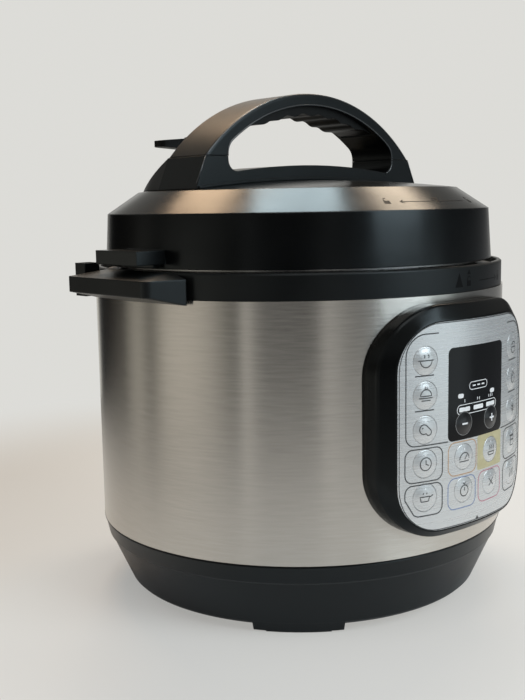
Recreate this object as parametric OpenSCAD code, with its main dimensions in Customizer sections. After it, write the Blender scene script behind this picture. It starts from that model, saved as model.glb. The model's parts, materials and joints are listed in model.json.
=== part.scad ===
// Electric pressure cooker, three litre class, built as separate pieces.
// Millimetres. +Z is up, the cooker's axis is the Z axis, and the feet stand on Z = 0.
// The control panel faces -Y, and the side handles point along X.

/* [Inner pot] */
// Outer radius of the inner pot
pot_r = 91.5; // [88:0.5:96]
// Height of the inner pot from its base to its rim
pot_h = 118; // [110:1:140]
// Wall thickness of the inner pot
pot_wall = 1; // [0.8:0.1:1.6]
// Radius of the pot's bottom corner
pot_corner_r = 12; // [6:1:16]
// How far the pot's rim stands out from its wall
rim_overhang = 6.5; // [5:0.5:8]

/* [Cooker well] */
// Radial gap between the pot wall and the well
well_gap = 3.5; // [2.5:0.5:4]
// Wall thickness of the well
well_wall = 1.2; // [0.8:0.1:1.6]
// Number of bayonet lugs on the well and on the lid
lug_count = 6; // [5:1:6]
// Angle that one bayonet lug spans, in degrees
lug_angle = 25; // [18:1:26]
// Radial depth of a bayonet lug
lug_depth = 4.5; // [3.5:0.5:6]
// Thickness of a bayonet lug
lug_h = 2.5; // [2:0.1:3]
// Height of the pot's seat above the top edge of the base cover
pot_seat_h = 10.6; // [9:0.2:14]

/* [Housing] */
// Radial room between the well and the steel housing
housing_gap = 11.5; // [10:0.5:15]
// Sheet thickness of the steel housing
housing_wall = 0.8; // [0.6:0.1:1.2]
// Height of the base cover's top edge above the floor
base_h = 41.4; // [40:0.2:48]
// Wall thickness of the plastic covers
cover_wall = 2.5; // [2:0.1:3]
// Height of the upper ring above the housing
ring_h = 13.3; // [12:0.1:16]
// Height of the crease round the base cover
crease_z = 32.3; // [28:0.5:36]
// Depth of the step under the base cover's crease
crease_ledge = 0.9; // [0.3:0.1:1.4]
// How far the base cover tapers in from the crease to its bottom rim
base_taper = 12; // [8:0.5:14]
// Height of the bottom rim of the base cover
base_rim_z = 6.5; // [5.5:0.5:8]

/* [Feet] */
// Angle that one foot spans, in degrees
foot_angle = 27; // [20:1:34]
// Radial width of a foot
foot_w = 16; // [12:1:20]
// Thickness of the rubber pads
pad_h = 2.5; // [2:0.1:3]

/* [Side handles] */
// How far a side handle reaches out from the housing
wing_reach = 17.7; // [15:0.5:24]
// Half length of a side handle at its outer edge
wing_half_len = 35.5; // [28:0.5:38]
// Thickness of a side handle at its outer edge
wing_t = 8; // [6:0.5:10]

/* [Control panel] */
// Half width of the panel bezel
bezel_half_w = 56.3; // [54:0.1:60]
// Height of the panel bezel
bezel_h = 115.5; // [113:0.1:118]
// Height of the bezel's lower edge above the top of the base cover
bezel_lift = 11.8; // [10:0.1:13]
// Corner radius of the bezel
bezel_corner_r = 34; // [26:1:40]
// How far the panel face stands out from the housing
panel_proud = 12.2; // [12:0.1:14]
// Width of the bezel's bevelled border at the sides
border_w = 6.3; // [5:0.1:7]
// Width of the bezel's border above the overlay
border_top = 7.8; // [7:0.1:9]
// Width of the bezel's border below the overlay
border_foot = 4.5; // [4:0.1:6]
// Half width of the display window
window_half_w = 21.9; // [20.5:0.1:23]
// Height of the display window
window_h = 46.5; // [45:0.1:50]
// Vertical spacing of the key rows
key_pitch = 16.83; // [16:0.1:17]
// Radius of the keys in the outer columns
key_r = 7; // [6:0.1:7.5]
// Radius of the keys in the middle block
mid_key_r = 6.5; // [5.5:0.1:7]
// Radius of the minus and plus keys
step_key_r = 6.2; // [5.5:0.1:6.8]
// Travel of a key
key_travel = 0.5; // [0.3:0.1:0.5]
// Angle of the outer key columns from the panel centre, in degrees
key_column_a = 16; // [15.5:0.1:16.5]
// Angle of the middle key columns from the panel centre, in degrees
mid_column_a = 4.9; // [4.5:0.1:5.2]

/* [Lid] */
// Height of the lid's steep side
lid_side_h = 27.4; // [24:0.2:32]
// Draft of the lid's steep side
lid_draft = 1.75; // [1:0.05:2.5]
// Width of the lid's bevel
bevel_w = 17.6; // [14:0.2:20]
// Height of the lid's bevel
bevel_h = 11.7; // [10:0.1:14]
// Rise of the lid's domed top above the bevel
dome_rise = 5.5; // [4.5:0.1:7]
// Half width of a side fin
fin_half_w = 18; // [14:0.5:21]
// Thickness of a side fin
fin_t = 7.1; // [6:0.1:8]
// How far a side fin reaches out from the lid
fin_reach = 16.1; // [12:0.1:18]

/* [Lid handle] */
// Height of the handle above the lid's domed top
handle_h = 47.5; // [46:0.5:54]
// Width of the handle
handle_w = 32; // [28:0.5:34]
// Thickness of the arch seen from the front
arch_t = 6.7; // [6:0.1:8]
// Height of the seam between handle base and cap above the bevel
seam_h = 17.7; // [16:0.1:19]
// Thickness of the handle's lower bar at its middle
bar_t = 8.1; // [7:0.1:9]
// Number of finger grooves under the grip
groove_count = 7; // [3:1:9]
// Depth of a finger groove
groove_depth = 1.3; // [0.8:0.1:2.2]

/* [Valves] */
// Distance of the valves behind the handle's centre line
valve_y = 44; // [42:0.5:52]
// Distance of the release valve from the centre, to the left
valve_x = 34; // [30:0.5:40]
// Radius of the release valve's knob
knob_r = 13; // [12:0.5:16]
// Length of the release valve's arm from its axis
arm_len = 30.5; // [26:0.5:34]
// Radius of the release pipe
pipe_r = 6; // [5:0.5:7]
// Rise of the float valve
float_rise = 6.5; // [4:0.5:7]
// Radius of the float pin
float_r = 2.5; // [2:0.1:3]

/* [Rear] */
// Half width of the collector cup
cup_half_w = 30; // [24:1:34]
// Depth of the collector cup from front to back
cup_depth = 16.4; // [14:0.2:20]
// Height of the collector cup
cup_h = 36; // [28:1:42]
// Half width of the power inlet
inlet_half_w = 14.5; // [14:0.1:16]
// Height of the power inlet
inlet_h = 20; // [19.5:0.1:21]

/* [Hidden] */
$fn = 96;
eps = 0.01;
// Gap left between pieces that only lie against each other
skin = 0.1;
// Radial running clearance of a pin in its bore
run_fit = 0.06;

// Radii, worked out from the pot outwards
rim_r = pot_r + rim_overhang;
well_r = pot_r + well_gap;
bayonet_gap = 0.8;
lug_in_r = rim_r + bayonet_gap;
bay_r = lug_in_r + lug_depth;
lid_lug_r = bay_r - 1.1;
lid_skirt_r = lug_in_r - 1.3;
body_in_r = bay_r + well_wall + housing_gap;
body_r = body_in_r + housing_wall;
ring_r = body_r - 0.8;
ring_in_r = ring_r - cover_wall;
lid_r = ring_in_r - 3.15;
lid_in_r = lid_r - cover_wall;
lid_top_r = lid_r - lid_draft;
dome_r = lid_top_r - bevel_w;
flange_r = ring_in_r - 1;
base_top_r = body_r - 0.4;
crease_r = base_top_r - 1.9;
base_rim_r = crease_r - base_taper;
foot_r = base_rim_r - 0.8;
panel_r = body_r + panel_proud;

// Heights, worked out from the floor upwards
foot_z = 1;
lower_slope = (base_taper - crease_ledge) / (crease_z - crease_ledge - base_rim_z);
foot_low_r = base_rim_r - 0.05 - (base_rim_z - foot_z) * lower_slope;
floor_z = base_rim_z - 1.5;
floor_t = cover_wall;
pot_z = base_h + pot_seat_h;
rim_z = pot_z + pot_h;
rim_t = 1.2;
housing_top_z = rim_z + 2.5;
ring_top_z = housing_top_z + ring_h;
ledge_z = ring_top_z - 4.3;
lid_lug_z = rim_z + 3;
well_lug_z = lid_lug_z + lug_h + 0.8;
lid_z = ring_top_z + 1.1;
plate_z = lid_z - 1;
plate_t = 1.2;
lid_side_z = lid_z + lid_side_h;
dome_z = lid_side_z + bevel_h;
lid_top_z = dome_z + dome_rise;
dome_sphere_r = (dome_r * dome_r + dome_rise * dome_rise) / (2 * dome_rise);
well_floor_z = pot_z - 16.5;
spring_plate_t = 2;
spring_plate_z = well_floor_z - spring_plate_t;
heater_t = 9;
heater_z = pot_z - heater_t;
heater_r = pot_r - 14.5;
coil_r = heater_r - 19;
sensor_hole_r = 15;
coil_end_angles = [-150, 90];

// Base details
post_r = 5;
post_ring_r = base_rim_r - 18;
post_angles = [30 : 90 : 300];
standoff_h = 4.5;
screw_r = 2;
screw_head_r = 3.6;
screw_head_h = 2;
board_t = 1.6;
power_w = 100;
power_l = 74;
power_y = -8;
board_z = floor_z + floor_t + standoff_h;
switch_r = post_ring_r - 17.5;
switch_a = 45;
switch_h = 0.55 * (spring_plate_z - floor_z);

// Side handle details
wing_x = body_r + wing_reach;
wing_corner_r = 5;
wing_top_z = ring_top_z - 2.8;
wing_root_z = housing_top_z - 2.1;
wing_root_a = 18.9;
wing_crest_a = 13.5;
wing_proud = 3;
socket_w = 9;
socket_l = 9.5;
socket_wall = 1.6;
socket_x = body_r - 3.8;
socket_y = wing_half_len + 0.5;
socket_z = wing_root_z + 1;
socket_floor_t = 4;
socket_top_z = ring_top_z + 3.2;
fin_z = ring_top_z + 3.6;

// Panel details
bezel_z = base_h + bezel_lift;
bezel_mid_z = bezel_z + bezel_h / 2;
crease_proud = 8.2;
overlay_t = 1;
overlay_half_w = bezel_half_w - border_w;
overlay_h = bezel_h - border_top - border_foot;
overlay_mid_z = bezel_z + border_foot + overlay_h / 2;
overlay_corner_r = bezel_corner_r - border_w - 4;
overlay_r = panel_r - overlay_t;
face_t = 2.5;
face_in_r = overlay_r - face_t;
key_clear = 0.15;
key_foot_r = face_in_r + 0.5;
key_dome = 0.8;
dome_switch_h = 0.6;
circuit_t = 0.4;
circuit_r = key_foot_r - key_travel - 0.1 - dome_switch_h;
key_row_0 = overlay_mid_z - 33.7;
window_z = key_row_0 + 1.5 * key_pitch + 0.4;
window_top_z = window_z + window_h;
control_board_y = body_r - 6.8;
control_half_w = overlay_half_w - 8;
control_h = overlay_h - 9;
cutout_half_w = control_half_w + 3;
cutout_h = control_h + 4;
display_half_w = window_half_w - 4;
display_h = 22;
display_z = window_top_z - 4 - display_h;

// Lid handle details
foot_x = dome_r - 4.2;
leg_lean = 7;
seam_z = dome_z + seam_h;
arch_top_z = lid_top_z + handle_h;
arch_rise = arch_top_z - seam_z;
arch_half_span = foot_x - leg_lean;
arch_r = (arch_half_span * arch_half_span + arch_rise * arch_rise) / (2 * arch_rise);
arch_z = arch_top_z - arch_r;
arch_edge_r = 1.5;
opening_r = arch_r - arch_t;
opening_x = foot_x - 22.3;
opening_corner_r = 9;
opening_foot_r = 6;
bar_top_z = lid_top_z + bar_t;
bar_r = 450;
handle_screw_x = foot_x - 12.5;
handle_screw_z = dome_at(handle_screw_x + screw_head_r) - cover_wall - screw_head_h;
grip_half_w = handle_w / 2 - 3;
grip_lift = 2;
grip_drop = 4;
grip_half_span = 52;
lip_h = 1.6;
lip_w = 1.2;
shield_y = dome_r * 0.55;

// Valve details
knob_z = lid_top_z + 3;
knob_h = 23;
pipe_top_z = knob_z + 14;
arm_t = 3.2;
float_x = 36;
float_top_z = lid_top_z - 2;
float_cap_r = 6;
float_cap_z = plate_z - float_rise - 6 - skin;
lock_r = 3;
lock_z = plate_z + plate_t + 7;
lock_travel = 3;
lock_a = 25;
lock_post_out = lid_in_r - 21.85;
lock_post_in = lock_post_out - 24;
lock_collar_x = lock_post_in + 8;
lock_post_w = 6;
lock_collar_t = 1.6;
lock_spring_l = lock_post_out - lock_post_w / 2 - lock_collar_x - lock_collar_t;
lid_screw_r = lid_in_r - 37.85;
lid_screw_angles = [100 : 120 : 340];

// Rear details
cup_top_z = housing_top_z - 2;
cup_wall = 1.8;
cup_y = body_r + 1;
ear_w = 2.5;
ear_t = 1.5;
rail_t = 2;
rail_gap = 0.3;
rail_l = 9;
ledge_t = 5;
inlet_z = floor_z + 7;
inlet_y = crease_r - 1.5;
inlet_depth = 16;

// ---------- helpers ----------

// Points of an arc about [x, y] from angle a0 to a1
function arc(x, y, r, a0, a1, n) =
    [for (i = [0 : n]) let (a = a0 + (a1 - a0) * i / n) [x + r * cos(a), y + r * sin(a)]];

// Height of the lid's domed top at a distance from the axis
function dome_at(x) = lid_top_z - dome_sphere_r + sqrt(dome_sphere_r * dome_sphere_r - x * x);

// A ring of revolution between two radii and two heights
module ring(r_in, r_out, z0, z1) {
    translate([0, 0, z0])
        difference() {
            cylinder(r = r_out, h = z1 - z0);
            translate([0, 0, -1])
                cylinder(r = r_in, h = z1 - z0 + 2);
        }
}

// A part of such a ring, spanning an angle centred on azimuth a
module ring_part(r_in, r_out, z0, z1, a, span) {
    rotate([0, 0, a - span / 2])
        rotate_extrude(angle = span)
            translate([r_in, z0])
                square([r_out - r_in, z1 - z0]);
}

// A flat rounded rectangle centred on the origin
module rounded_rect(w, h, r) {
    r_ok = min(r, w / 2 - eps, h / 2 - eps);
    polygon(concat(
        arc(w / 2 - r_ok, h / 2 - r_ok, r_ok, 0, 90, 10),
        arc(-w / 2 + r_ok, h / 2 - r_ok, r_ok, 90, 180, 10),
        arc(-w / 2 + r_ok, -h / 2 + r_ok, r_ok, 180, 270, 10),
        arc(w / 2 - r_ok, -h / 2 + r_ok, r_ok, 270, 360, 10)));
}

// A prism along -Y with a rounded rectangular section, from y0 to y1
module panel_prism(half_w, h, r, mid_z, y0, y1) {
    translate([0, -y0, mid_z])
        rotate([90, 0, 0])
            linear_extrude(y1 - y0)
                rounded_rect(2 * half_w, h, r);
}

// A layer of the curved panel between two radii
module panel_layer(half_w, h, r, mid_z, r_in, r_out) {
    intersection() {
        panel_prism(half_w, h, r, mid_z, body_r - 30, panel_r + 10);
        ring(r_in, r_out, mid_z - h, mid_z + h);
    }
}

// A wire of round section that winds up the Z axis
module coil_spring(r, wire, h, turns) {
    sides = 8;
    steps = 16 * turns;
    points = [for (i = [0 : steps])
        let (a = 360 * turns * i / steps, z = wire + (h - 2 * wire) * i / steps)
        for (j = [0 : sides - 1])
            let (b = 360 * j / sides, d = r + wire * cos(b))
            [d * cos(a), d * sin(a), z + wire * sin(b)]];
    walls = [for (i = [0 : steps - 1], j = [0 : sides - 1])
        [i * sides + j, (i + 1) * sides + j,
         (i + 1) * sides + (j + 1) % sides, i * sides + (j + 1) % sides]];
    ends = [[for (j = [0 : sides - 1]) j],
            [for (j = [0 : sides - 1]) steps * sides + sides - 1 - j]];
    polyhedron(points = points, faces = concat(walls, ends));
}

// A stretch of wire between two points
module wire_run(p, q, r) {
    d = q - p;
    len = norm(d);
    translate(p)
        rotate([0, acos(d[2] / len), atan2(d[1], d[0])])
            cylinder(r = r, h = len, $fn = 24);
}

// ---------- base and housing ----------

module steel_housing() {
    color("silver")
        difference() {
            ring(body_in_r, body_r, base_h, housing_top_z);
            panel_prism(cutout_half_w, cutout_h, 4, overlay_mid_z, 50, body_r + 5);
        }
}

// Feet whose outer faces carry on the slope of the base cover
module foot_bosses() {
    for (a = [45 : 90 : 315])
        rotate([0, 0, a - foot_angle / 2])
            rotate_extrude(angle = foot_angle)
                polygon([
                    [foot_r - foot_w, foot_z],
                    [foot_low_r, foot_z],
                    [base_rim_r - 0.05, base_rim_z],
                    [base_rim_r - 1.2, base_rim_z + 0.4],
                    [foot_r - foot_w, floor_z + 0.5]]);
}

module base_cover() {
    post_top_z = spring_plate_z;
    color("dimgray")
        difference() {
            union() {
                rotate_extrude()
                    polygon([
                        [0, floor_z],
                        [base_rim_r - 1.5, floor_z],
                        [base_rim_r, base_rim_z],
                        [crease_r - crease_ledge, crease_z - crease_ledge],
                        [crease_r, crease_z],
                        [base_top_r, base_h - 0.5],
                        [body_in_r - skin, base_h - 0.5],
                        [body_in_r - skin, base_h + 6],
                        [body_in_r - skin - cover_wall, base_h + 6],
                        [body_in_r - skin - cover_wall, base_h - 4],
                        [crease_r - cover_wall - 0.5, crease_z],
                        [base_rim_r - cover_wall - 0.5, floor_z + floor_t],
                        [0, floor_z + floor_t]]);
                foot_bosses();
                for (a = post_angles)
                    rotate([0, 0, a])
                        translate([post_ring_r, 0, floor_z + 1])
                            cylinder(r = post_r, h = post_top_z - floor_z - 1);
                for (x = [-1, 1], y = [-1, 1])
                    translate([x * (power_w / 2 - 5), power_y + y * (power_l / 2 - 5), floor_z + 1])
                        cylinder(r = 3, h = board_z - floor_z - 1);
            }
            for (a = [45 : 90 : 315])
                ring_part(foot_r - foot_w + 3, foot_r - 3, 0, pad_h, a, foot_angle - 7);
            for (a = post_angles)
                rotate([0, 0, a])
                    translate([post_ring_r, 0, 0])
                        base_screw_hole();
            translate([-inlet_half_w, base_rim_r - 18, inlet_z])
                cube([2 * inlet_half_w, 40, inlet_h]);
            for (i = [-3 : 3])
                translate([i * 9 - 1.5, 52, floor_z - 1])
                    cube([3, 22, floor_t + 2]);
        }
}

module base_screw_hole() {
    translate([0, 0, floor_z - 1])
        cylinder(r = screw_head_r + 0.4, h = 1 + screw_head_h + 0.5);
    cylinder(r = screw_r + skin, h = spring_plate_z + 10);
}

module base_screws() {
    color("gray")
        for (a = post_angles)
            rotate([0, 0, a])
                translate([post_ring_r, 0, floor_z + 0.5]) {
                    cylinder(r = screw_head_r, h = screw_head_h);
                    cylinder(r = screw_r, h = spring_plate_z + spring_plate_t + 1 - floor_z - 0.5);
                }
}

module foot_pads() {
    color("black")
        for (a = [45 : 90 : 315])
            ring_part(foot_r - foot_w + 3.1, foot_r - 3.1, 0, pad_h, a, foot_angle - 7.2);
}

module upper_ring() {
    color("dimgray")
        difference() {
            union() {
                rotate_extrude()
                    polygon([
                        [ring_r, housing_top_z + skin],
                        [ring_r, ring_top_z - 0.8],
                        [ring_r - 0.8, ring_top_z],
                        [ring_in_r, ring_top_z],
                        [ring_in_r, ledge_z],
                        [bay_r + well_wall + skin, ledge_z],
                        [bay_r + well_wall + skin, ledge_z - 3],
                        [body_in_r - skin - cover_wall, ledge_z - 3],
                        [body_in_r - skin - cover_wall, housing_top_z - 6],
                        [body_in_r - skin, housing_top_z - 6],
                        [body_in_r - skin, housing_top_z + skin]]);
                collector_rails();
            }
            translate([-6, ring_in_r - 1, ledge_z + 0.5])
                cube([12, cover_wall + 3, 2.5]);
        }
}

// Ledge at the rear with two rails that the collector cup's ears slide in
module collector_rails() {
    rail_out = cup_half_w + ear_w + rail_gap + rail_t;
    rail_z = cup_top_z - ear_t - rail_gap - rail_t;
    difference() {
        translate([-rail_out, 0, housing_top_z + skin])
            cube([2 * rail_out, cup_y + rail_l, ledge_t]);
        translate([0, 0, housing_top_z])
            cylinder(r = ring_r - 0.5, h = 2 * ledge_t);
        translate([-cup_half_w + 4, cup_y + 3, housing_top_z])
            cube([2 * cup_half_w - 8, rail_l, 2 * ledge_t]);
    }
    for (s = [-1, 1])
        translate([s * (rail_out - rail_t / 2) - rail_t / 2, cup_y + 1, rail_z])
            cube([rail_t, rail_l - 1, housing_top_z - rail_z + 1]);
    for (s = [-1, 1])
        translate([s * (rail_out - rail_t) - rail_t, cup_y + 1, rail_z])
            cube([2 * rail_t, rail_l - 1, rail_t]);
}

// Side handle on the +X side
module side_handle() {
    root_x = (body_r + wing_proud) * cos(wing_root_a);
    root_y = (body_r + wing_proud) * sin(wing_root_a);
    edge_x = wing_x - wing_corner_r;
    edge_y = wing_half_len - wing_corner_r;
    difference() {
        union() {
            hull() {
                for (s = [-1, 1])
                    translate([edge_x, s * edge_y, wing_top_z - wing_t])
                        cylinder(r = wing_corner_r, h = wing_t, $fn = 32);
                for (s = [-1, 1])
                    translate([root_x, s * root_y, wing_root_z])
                        cylinder(r = 0.8, h = wing_top_z - wing_root_z, $fn = 16);
                for (a = [-wing_crest_a, 0, wing_crest_a])
                    rotate([0, 0, a])
                        translate([ring_r, 0, wing_root_z])
                            cylinder(r = 1, h = ring_top_z - wing_root_z - skin, $fn = 16);
            }
            translate([socket_x, socket_y, socket_z])
                cube([socket_w, socket_l, socket_top_z - socket_z]);
        }
        translate([socket_x + socket_wall, socket_y + socket_wall, socket_z + socket_floor_t])
            cube([socket_w - 2 * socket_wall, socket_l - 2 * socket_wall, 40]);
        cylinder(r = ring_r + skin, h = ring_top_z + 20);
        cylinder(r = body_r + skin, h = housing_top_z + skin);
    }
}

module right_side_handle() {
    color("dimgray")
        side_handle();
}

module left_side_handle() {
    color("dimgray")
        mirror([1, 0, 0])
            side_handle();
}

module cooker_well() {
    color("lightgray")
        difference() {
            union() {
                rotate_extrude()
                    polygon([
                        [0, well_floor_z],
                        [well_r + well_wall, well_floor_z],
                        [well_r + well_wall, rim_z - 10],
                        [bay_r + well_wall, rim_z - 8],
                        [bay_r + well_wall, ledge_z],
                        [flange_r, ledge_z],
                        [flange_r, ledge_z + well_wall],
                        [bay_r, ledge_z + well_wall],
                        [bay_r, rim_z - 8 + well_wall],
                        [well_r, rim_z - 10 + well_wall],
                        [well_r, well_floor_z + well_wall],
                        [0, well_floor_z + well_wall]]);
                for (i = [0 : lug_count - 1])
                    ring_part(lug_in_r, bay_r + 0.3, well_lug_z, well_lug_z + lug_h,
                              -90 + i * 360 / lug_count, lug_angle);
            }
            translate([0, 0, well_floor_z - 1])
                cylinder(r = sensor_hole_r + 9, h = 4);
            for (a = coil_end_angles)
                rotate([0, 0, a])
                    translate([coil_r, 0, well_floor_z - 1])
                        cylinder(r = 9, h = 4);
            for (a = post_angles)
                rotate([0, 0, a])
                    translate([post_ring_r, 0, well_floor_z - 1])
                        cylinder(r = screw_r + skin, h = 4);
        }
}

module spring_plate() {
    color("silver")
        difference() {
            ring(coil_r + 6, post_ring_r + 6, spring_plate_z + skin / 2, well_floor_z - skin / 2);
            for (a = post_angles)
                rotate([0, 0, a])
                    translate([post_ring_r, 0, spring_plate_z - 1])
                        cylinder(r = screw_r + skin, h = 6);
        }
}

module pressure_switch() {
    color("white")
        rotate([0, 0, switch_a]) {
            translate([switch_r - 7, -8, floor_z + floor_t])
                cube([14, 16, switch_h]);
            translate([switch_r, 0, floor_z + floor_t + switch_h - 1])
                cylinder(r = 3, h = spring_plate_z - floor_z - floor_t - switch_h + 1 - skin);
        }
}

// ---------- heater and sensor ----------

module heater_plate() {
    color("lightgray")
        difference() {
            union() {
                ring(sensor_hole_r, heater_r, heater_z, pot_z - skin);
                for (a = [90 : 120 : 330])
                    rotate([0, 0, a])
                        translate([heater_r - 8, 0, well_floor_z + well_wall])
                            cylinder(r = 4, h = heater_z - well_floor_z - well_wall + 1);
            }
            rotate_extrude()
                translate([coil_r, heater_z])
                    circle(r = 3.6, $fn = 32);
        }
}

module heater_coil() {
    color("gray")
        rotate([0, 0, coil_end_angles[0]])
            rotate_extrude(angle = coil_end_angles[1] - coil_end_angles[0])
                translate([coil_r, heater_z])
                    circle(r = 3.5, $fn = 32);
    color("gray")
        for (a = [coil_end_angles[0] + 5, coil_end_angles[1] - 5])
            rotate([0, 0, a])
                translate([coil_r, 0, well_floor_z - 6])
                    cylinder(r = 3, h = heater_z - well_floor_z + 6);
}

module thermal_fuse() {
    color("ivory")
        translate([0, -0.55 * coil_r, well_floor_z + well_wall]) {
            translate([-6, -3, 0])
                cube([12, 6, 2]);
            translate([-9, 0, 3])
                rotate([0, 90, 0])
                    cylinder(r = 2, h = 18, $fn = 32);
        }
}

module sensor_bracket() {
    arm_x = sensor_hole_r + 4;
    color("silver")
        difference() {
            union() {
                translate([-arm_x, -5, well_floor_z + 0.5])
                    cube([2 * arm_x, 10, 1.2]);
                for (s = [-1, 1])
                    translate([s * (arm_x - 0.8) - 0.8, -5, well_floor_z + 0.5])
                        cube([1.6, 10, heater_z - well_floor_z - 0.5 - skin]);
            }
            translate([0, 0, well_floor_z - 1])
                cylinder(r = 3.2, h = 6, $fn = 32);
        }
}

module sensor_cap() {
    color("silver")
        rotate_extrude()
            polygon([
                [0, heater_z + 1],
                [3, heater_z + 1],
                [3, pot_z - 2],
                [sensor_hole_r - 3, pot_z - 2],
                [sensor_hole_r - 3, heater_z + 2],
                [sensor_hole_r - 2, heater_z + 2],
                [sensor_hole_r - 2, pot_z - 0.8],
                [sensor_hole_r - 2.8, pot_z - skin / 2],
                [0, pot_z - skin / 2]]);
}

module sensor_spring() {
    base_z = well_floor_z + 1.7;
    color("silver")
        translate([0, 0, base_z + skin / 2])
            coil_spring(7, 0.6, pot_z - 2 - base_z - skin, 4);
}

// ---------- electronics ----------

module power_board() {
    color("darkgreen")
        translate([-power_w / 2, power_y - power_l / 2, board_z])
            cube([power_w, power_l, board_t]);
}

module power_components() {
    top_z = board_z + board_t;
    room = spring_plate_z - top_z;
    back_y = power_y - 0.38 * power_l;
    mid_y = power_y + 0.09 * power_l;
    color("darkblue")
        translate([-0.42 * power_w, back_y, top_z])
            cube([0.2 * power_w, 0.22 * power_l, 0.75 * room]);
    color("black")
        translate([-0.12 * power_w, back_y, top_z])
            cube([0.24 * power_w, 0.27 * power_l, 0.8 * room]);
    color("navy")
        for (x = [0.26, 0.38])
            translate([x * power_w, back_y + 8, top_z])
                cylinder(r = 5, h = 0.8 * room);
    color("gold")
        translate([-0.4 * power_w, mid_y, top_z])
            cube([0.16 * power_w, 0.14 * power_l, 0.65 * room]);
    color("silver")
        translate([0, mid_y, top_z])
            cube([0.3 * power_w, 4, 0.75 * room]);
}

module control_board() {
    color("darkgreen")
        translate([-control_half_w, -control_board_y, overlay_mid_z - control_h / 2])
            cube([2 * control_half_w, board_t, control_h]);
}

module display_module() {
    front_y = overlay_r * cos(asin(display_half_w / overlay_r)) - face_t - 2.5;
    color("black")
        translate([-display_half_w + 1, -front_y, display_z + 1])
            cube([2 * display_half_w - 2, front_y - control_board_y, display_h - 2]);
}

module key_circuit() {
    color("goldenrod")
        difference() {
            union() {
                panel_layer(overlay_half_w - 6, overlay_h - 10, 16, overlay_mid_z,
                            circuit_r - circuit_t, circuit_r);
                for_keys()
                    translate([circuit_r - 0.2, 0, 0])
                        rotate([0, 90, 0])
                            cylinder(r = 3, h = dome_switch_h + 0.2, $fn = 32);
            }
            panel_prism(display_half_w, display_h, 2, display_z + display_h / 2, 50, panel_r + 5);
        }
}

// ---------- control panel ----------

// Columns and rows of the keys: [name, angle from the centre, row, radius]
left_a = -90 - key_column_a;
right_a = -90 + key_column_a;
KEYS = concat(
    [for (i = [0 : 4]) [left_a, 4 - i, key_r]],
    [for (i = [0 : 4]) [right_a, 4 - i, key_r]],
    [[-90 - mid_column_a, 1, mid_key_r], [-90 + mid_column_a, 1, mid_key_r],
     [-90 - mid_column_a, 0, mid_key_r], [-90 + mid_column_a, 0, mid_key_r]],
    [[-90 - mid_column_a, 2, step_key_r], [-90 + mid_column_a, 2, step_key_r]]);

// Puts the children at key number i, with X pointing outwards
module at_key(i) {
    rotate([0, 0, KEYS[i][0]])
        translate([0, 0, key_row_0 + KEYS[i][1] * key_pitch])
            children();
}

module for_keys() {
    for (i = [0 : len(KEYS) - 1])
        at_key(i)
            children();
}

module key_holes(gap) {
    for (i = [0 : len(KEYS) - 1])
        at_key(i)
            translate([circuit_r + 0.1, 0, 0])
                rotate([0, 90, 0])
                    cylinder(r = KEYS[i][2] + gap, h = 20, $fn = 48);
}

// A key: a domed button whose axis points at the cooker's axis
module key(i) {
    r = KEYS[i][2];
    rim_x = panel_r - panel_r * (1 - cos(asin(r / panel_r)));
    color(i > 13 ? "black" : "silver")
        at_key(i)
            translate([key_foot_r, 0, 0])
                rotate([0, 90, 0])
                    rotate_extrude($fn = 64)
                        polygon([
                            [0, 0],
                            [r, 0],
                            [r, rim_x - key_foot_r],
                            [r - 0.7, panel_r - key_foot_r + 0.35],
                            [r - 2.2, panel_r - key_foot_r + key_dome - 0.1],
                            [0, panel_r - key_foot_r + key_dome]]);
}

module panel_bezel() {
    wall = cover_wall;
    color("dimgray")
        difference() {
            hull() {
                intersection() {
                    panel_prism(bezel_half_w, bezel_h, bezel_corner_r, bezel_mid_z, body_r - 20, panel_r + 5);
                    cylinder(r = body_r + crease_proud, h = 300, $fn = 180);
                }
                intersection() {
                    panel_prism(overlay_half_w + 0.5, overlay_h + 1, overlay_corner_r + 0.5,
                                overlay_mid_z, body_r - 20, panel_r + 5);
                    cylinder(r = panel_r - 0.2, h = 300, $fn = 180);
                }
            }
            intersection() {
                panel_prism(bezel_half_w - wall, bezel_h - 2 * wall, bezel_corner_r - wall,
                            bezel_mid_z, 50, panel_r);
                cylinder(r = body_r + crease_proud - wall, h = 300);
            }
            intersection() {
                panel_prism(overlay_half_w - 2, overlay_h - 4, overlay_corner_r - 2,
                            overlay_mid_z, 50, panel_r + 5);
                cylinder(r = face_in_r, h = 300);
            }
            difference() {
                panel_prism(overlay_half_w + skin, overlay_h + 2 * skin, overlay_corner_r + skin,
                            overlay_mid_z, 50, panel_r + 5);
                cylinder(r = overlay_r, h = 300);
            }
            cylinder(r = body_r + skin, h = 300);
            panel_prism(display_half_w, display_h, 1, display_z + display_h / 2, 50, panel_r + 5);
            key_holes(key_clear + 0.2);
        }
}

module panel_overlay() {
    color("lightgray")
        difference() {
            panel_layer(overlay_half_w, overlay_h, overlay_corner_r, overlay_mid_z,
                        overlay_r + 0.02, panel_r);
            panel_prism(window_half_w + 0.05, window_h + 0.1, 3, window_top_z - window_h / 2,
                        body_r - 10, panel_r + 5);
            key_holes(key_clear);
        }
}

module display_window() {
    color("black")
        difference() {
            panel_layer(window_half_w, window_h, 3, window_top_z - window_h / 2,
                        overlay_r + 0.02, panel_r);
            key_holes(key_clear);
        }
}

// ---------- inlet, wiring and collector ----------

module inlet_housing() {
    color("black")
        difference() {
            translate([-inlet_half_w + skin, inlet_y - inlet_depth - 3, inlet_z + skin])
                cube([2 * (inlet_half_w - skin), inlet_depth + 3, inlet_h - 2 * skin]);
            translate([0, inlet_y + 1, inlet_z + inlet_h / 2])
                rotate([90, 0, 0])
                    linear_extrude(inlet_depth + 1)
                        polygon([[-12, -8], [12, -8], [12, 4], [8, 8], [-8, 8], [-12, 4]]);
            inlet_pin_blades(0.05);
        }
}

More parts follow.
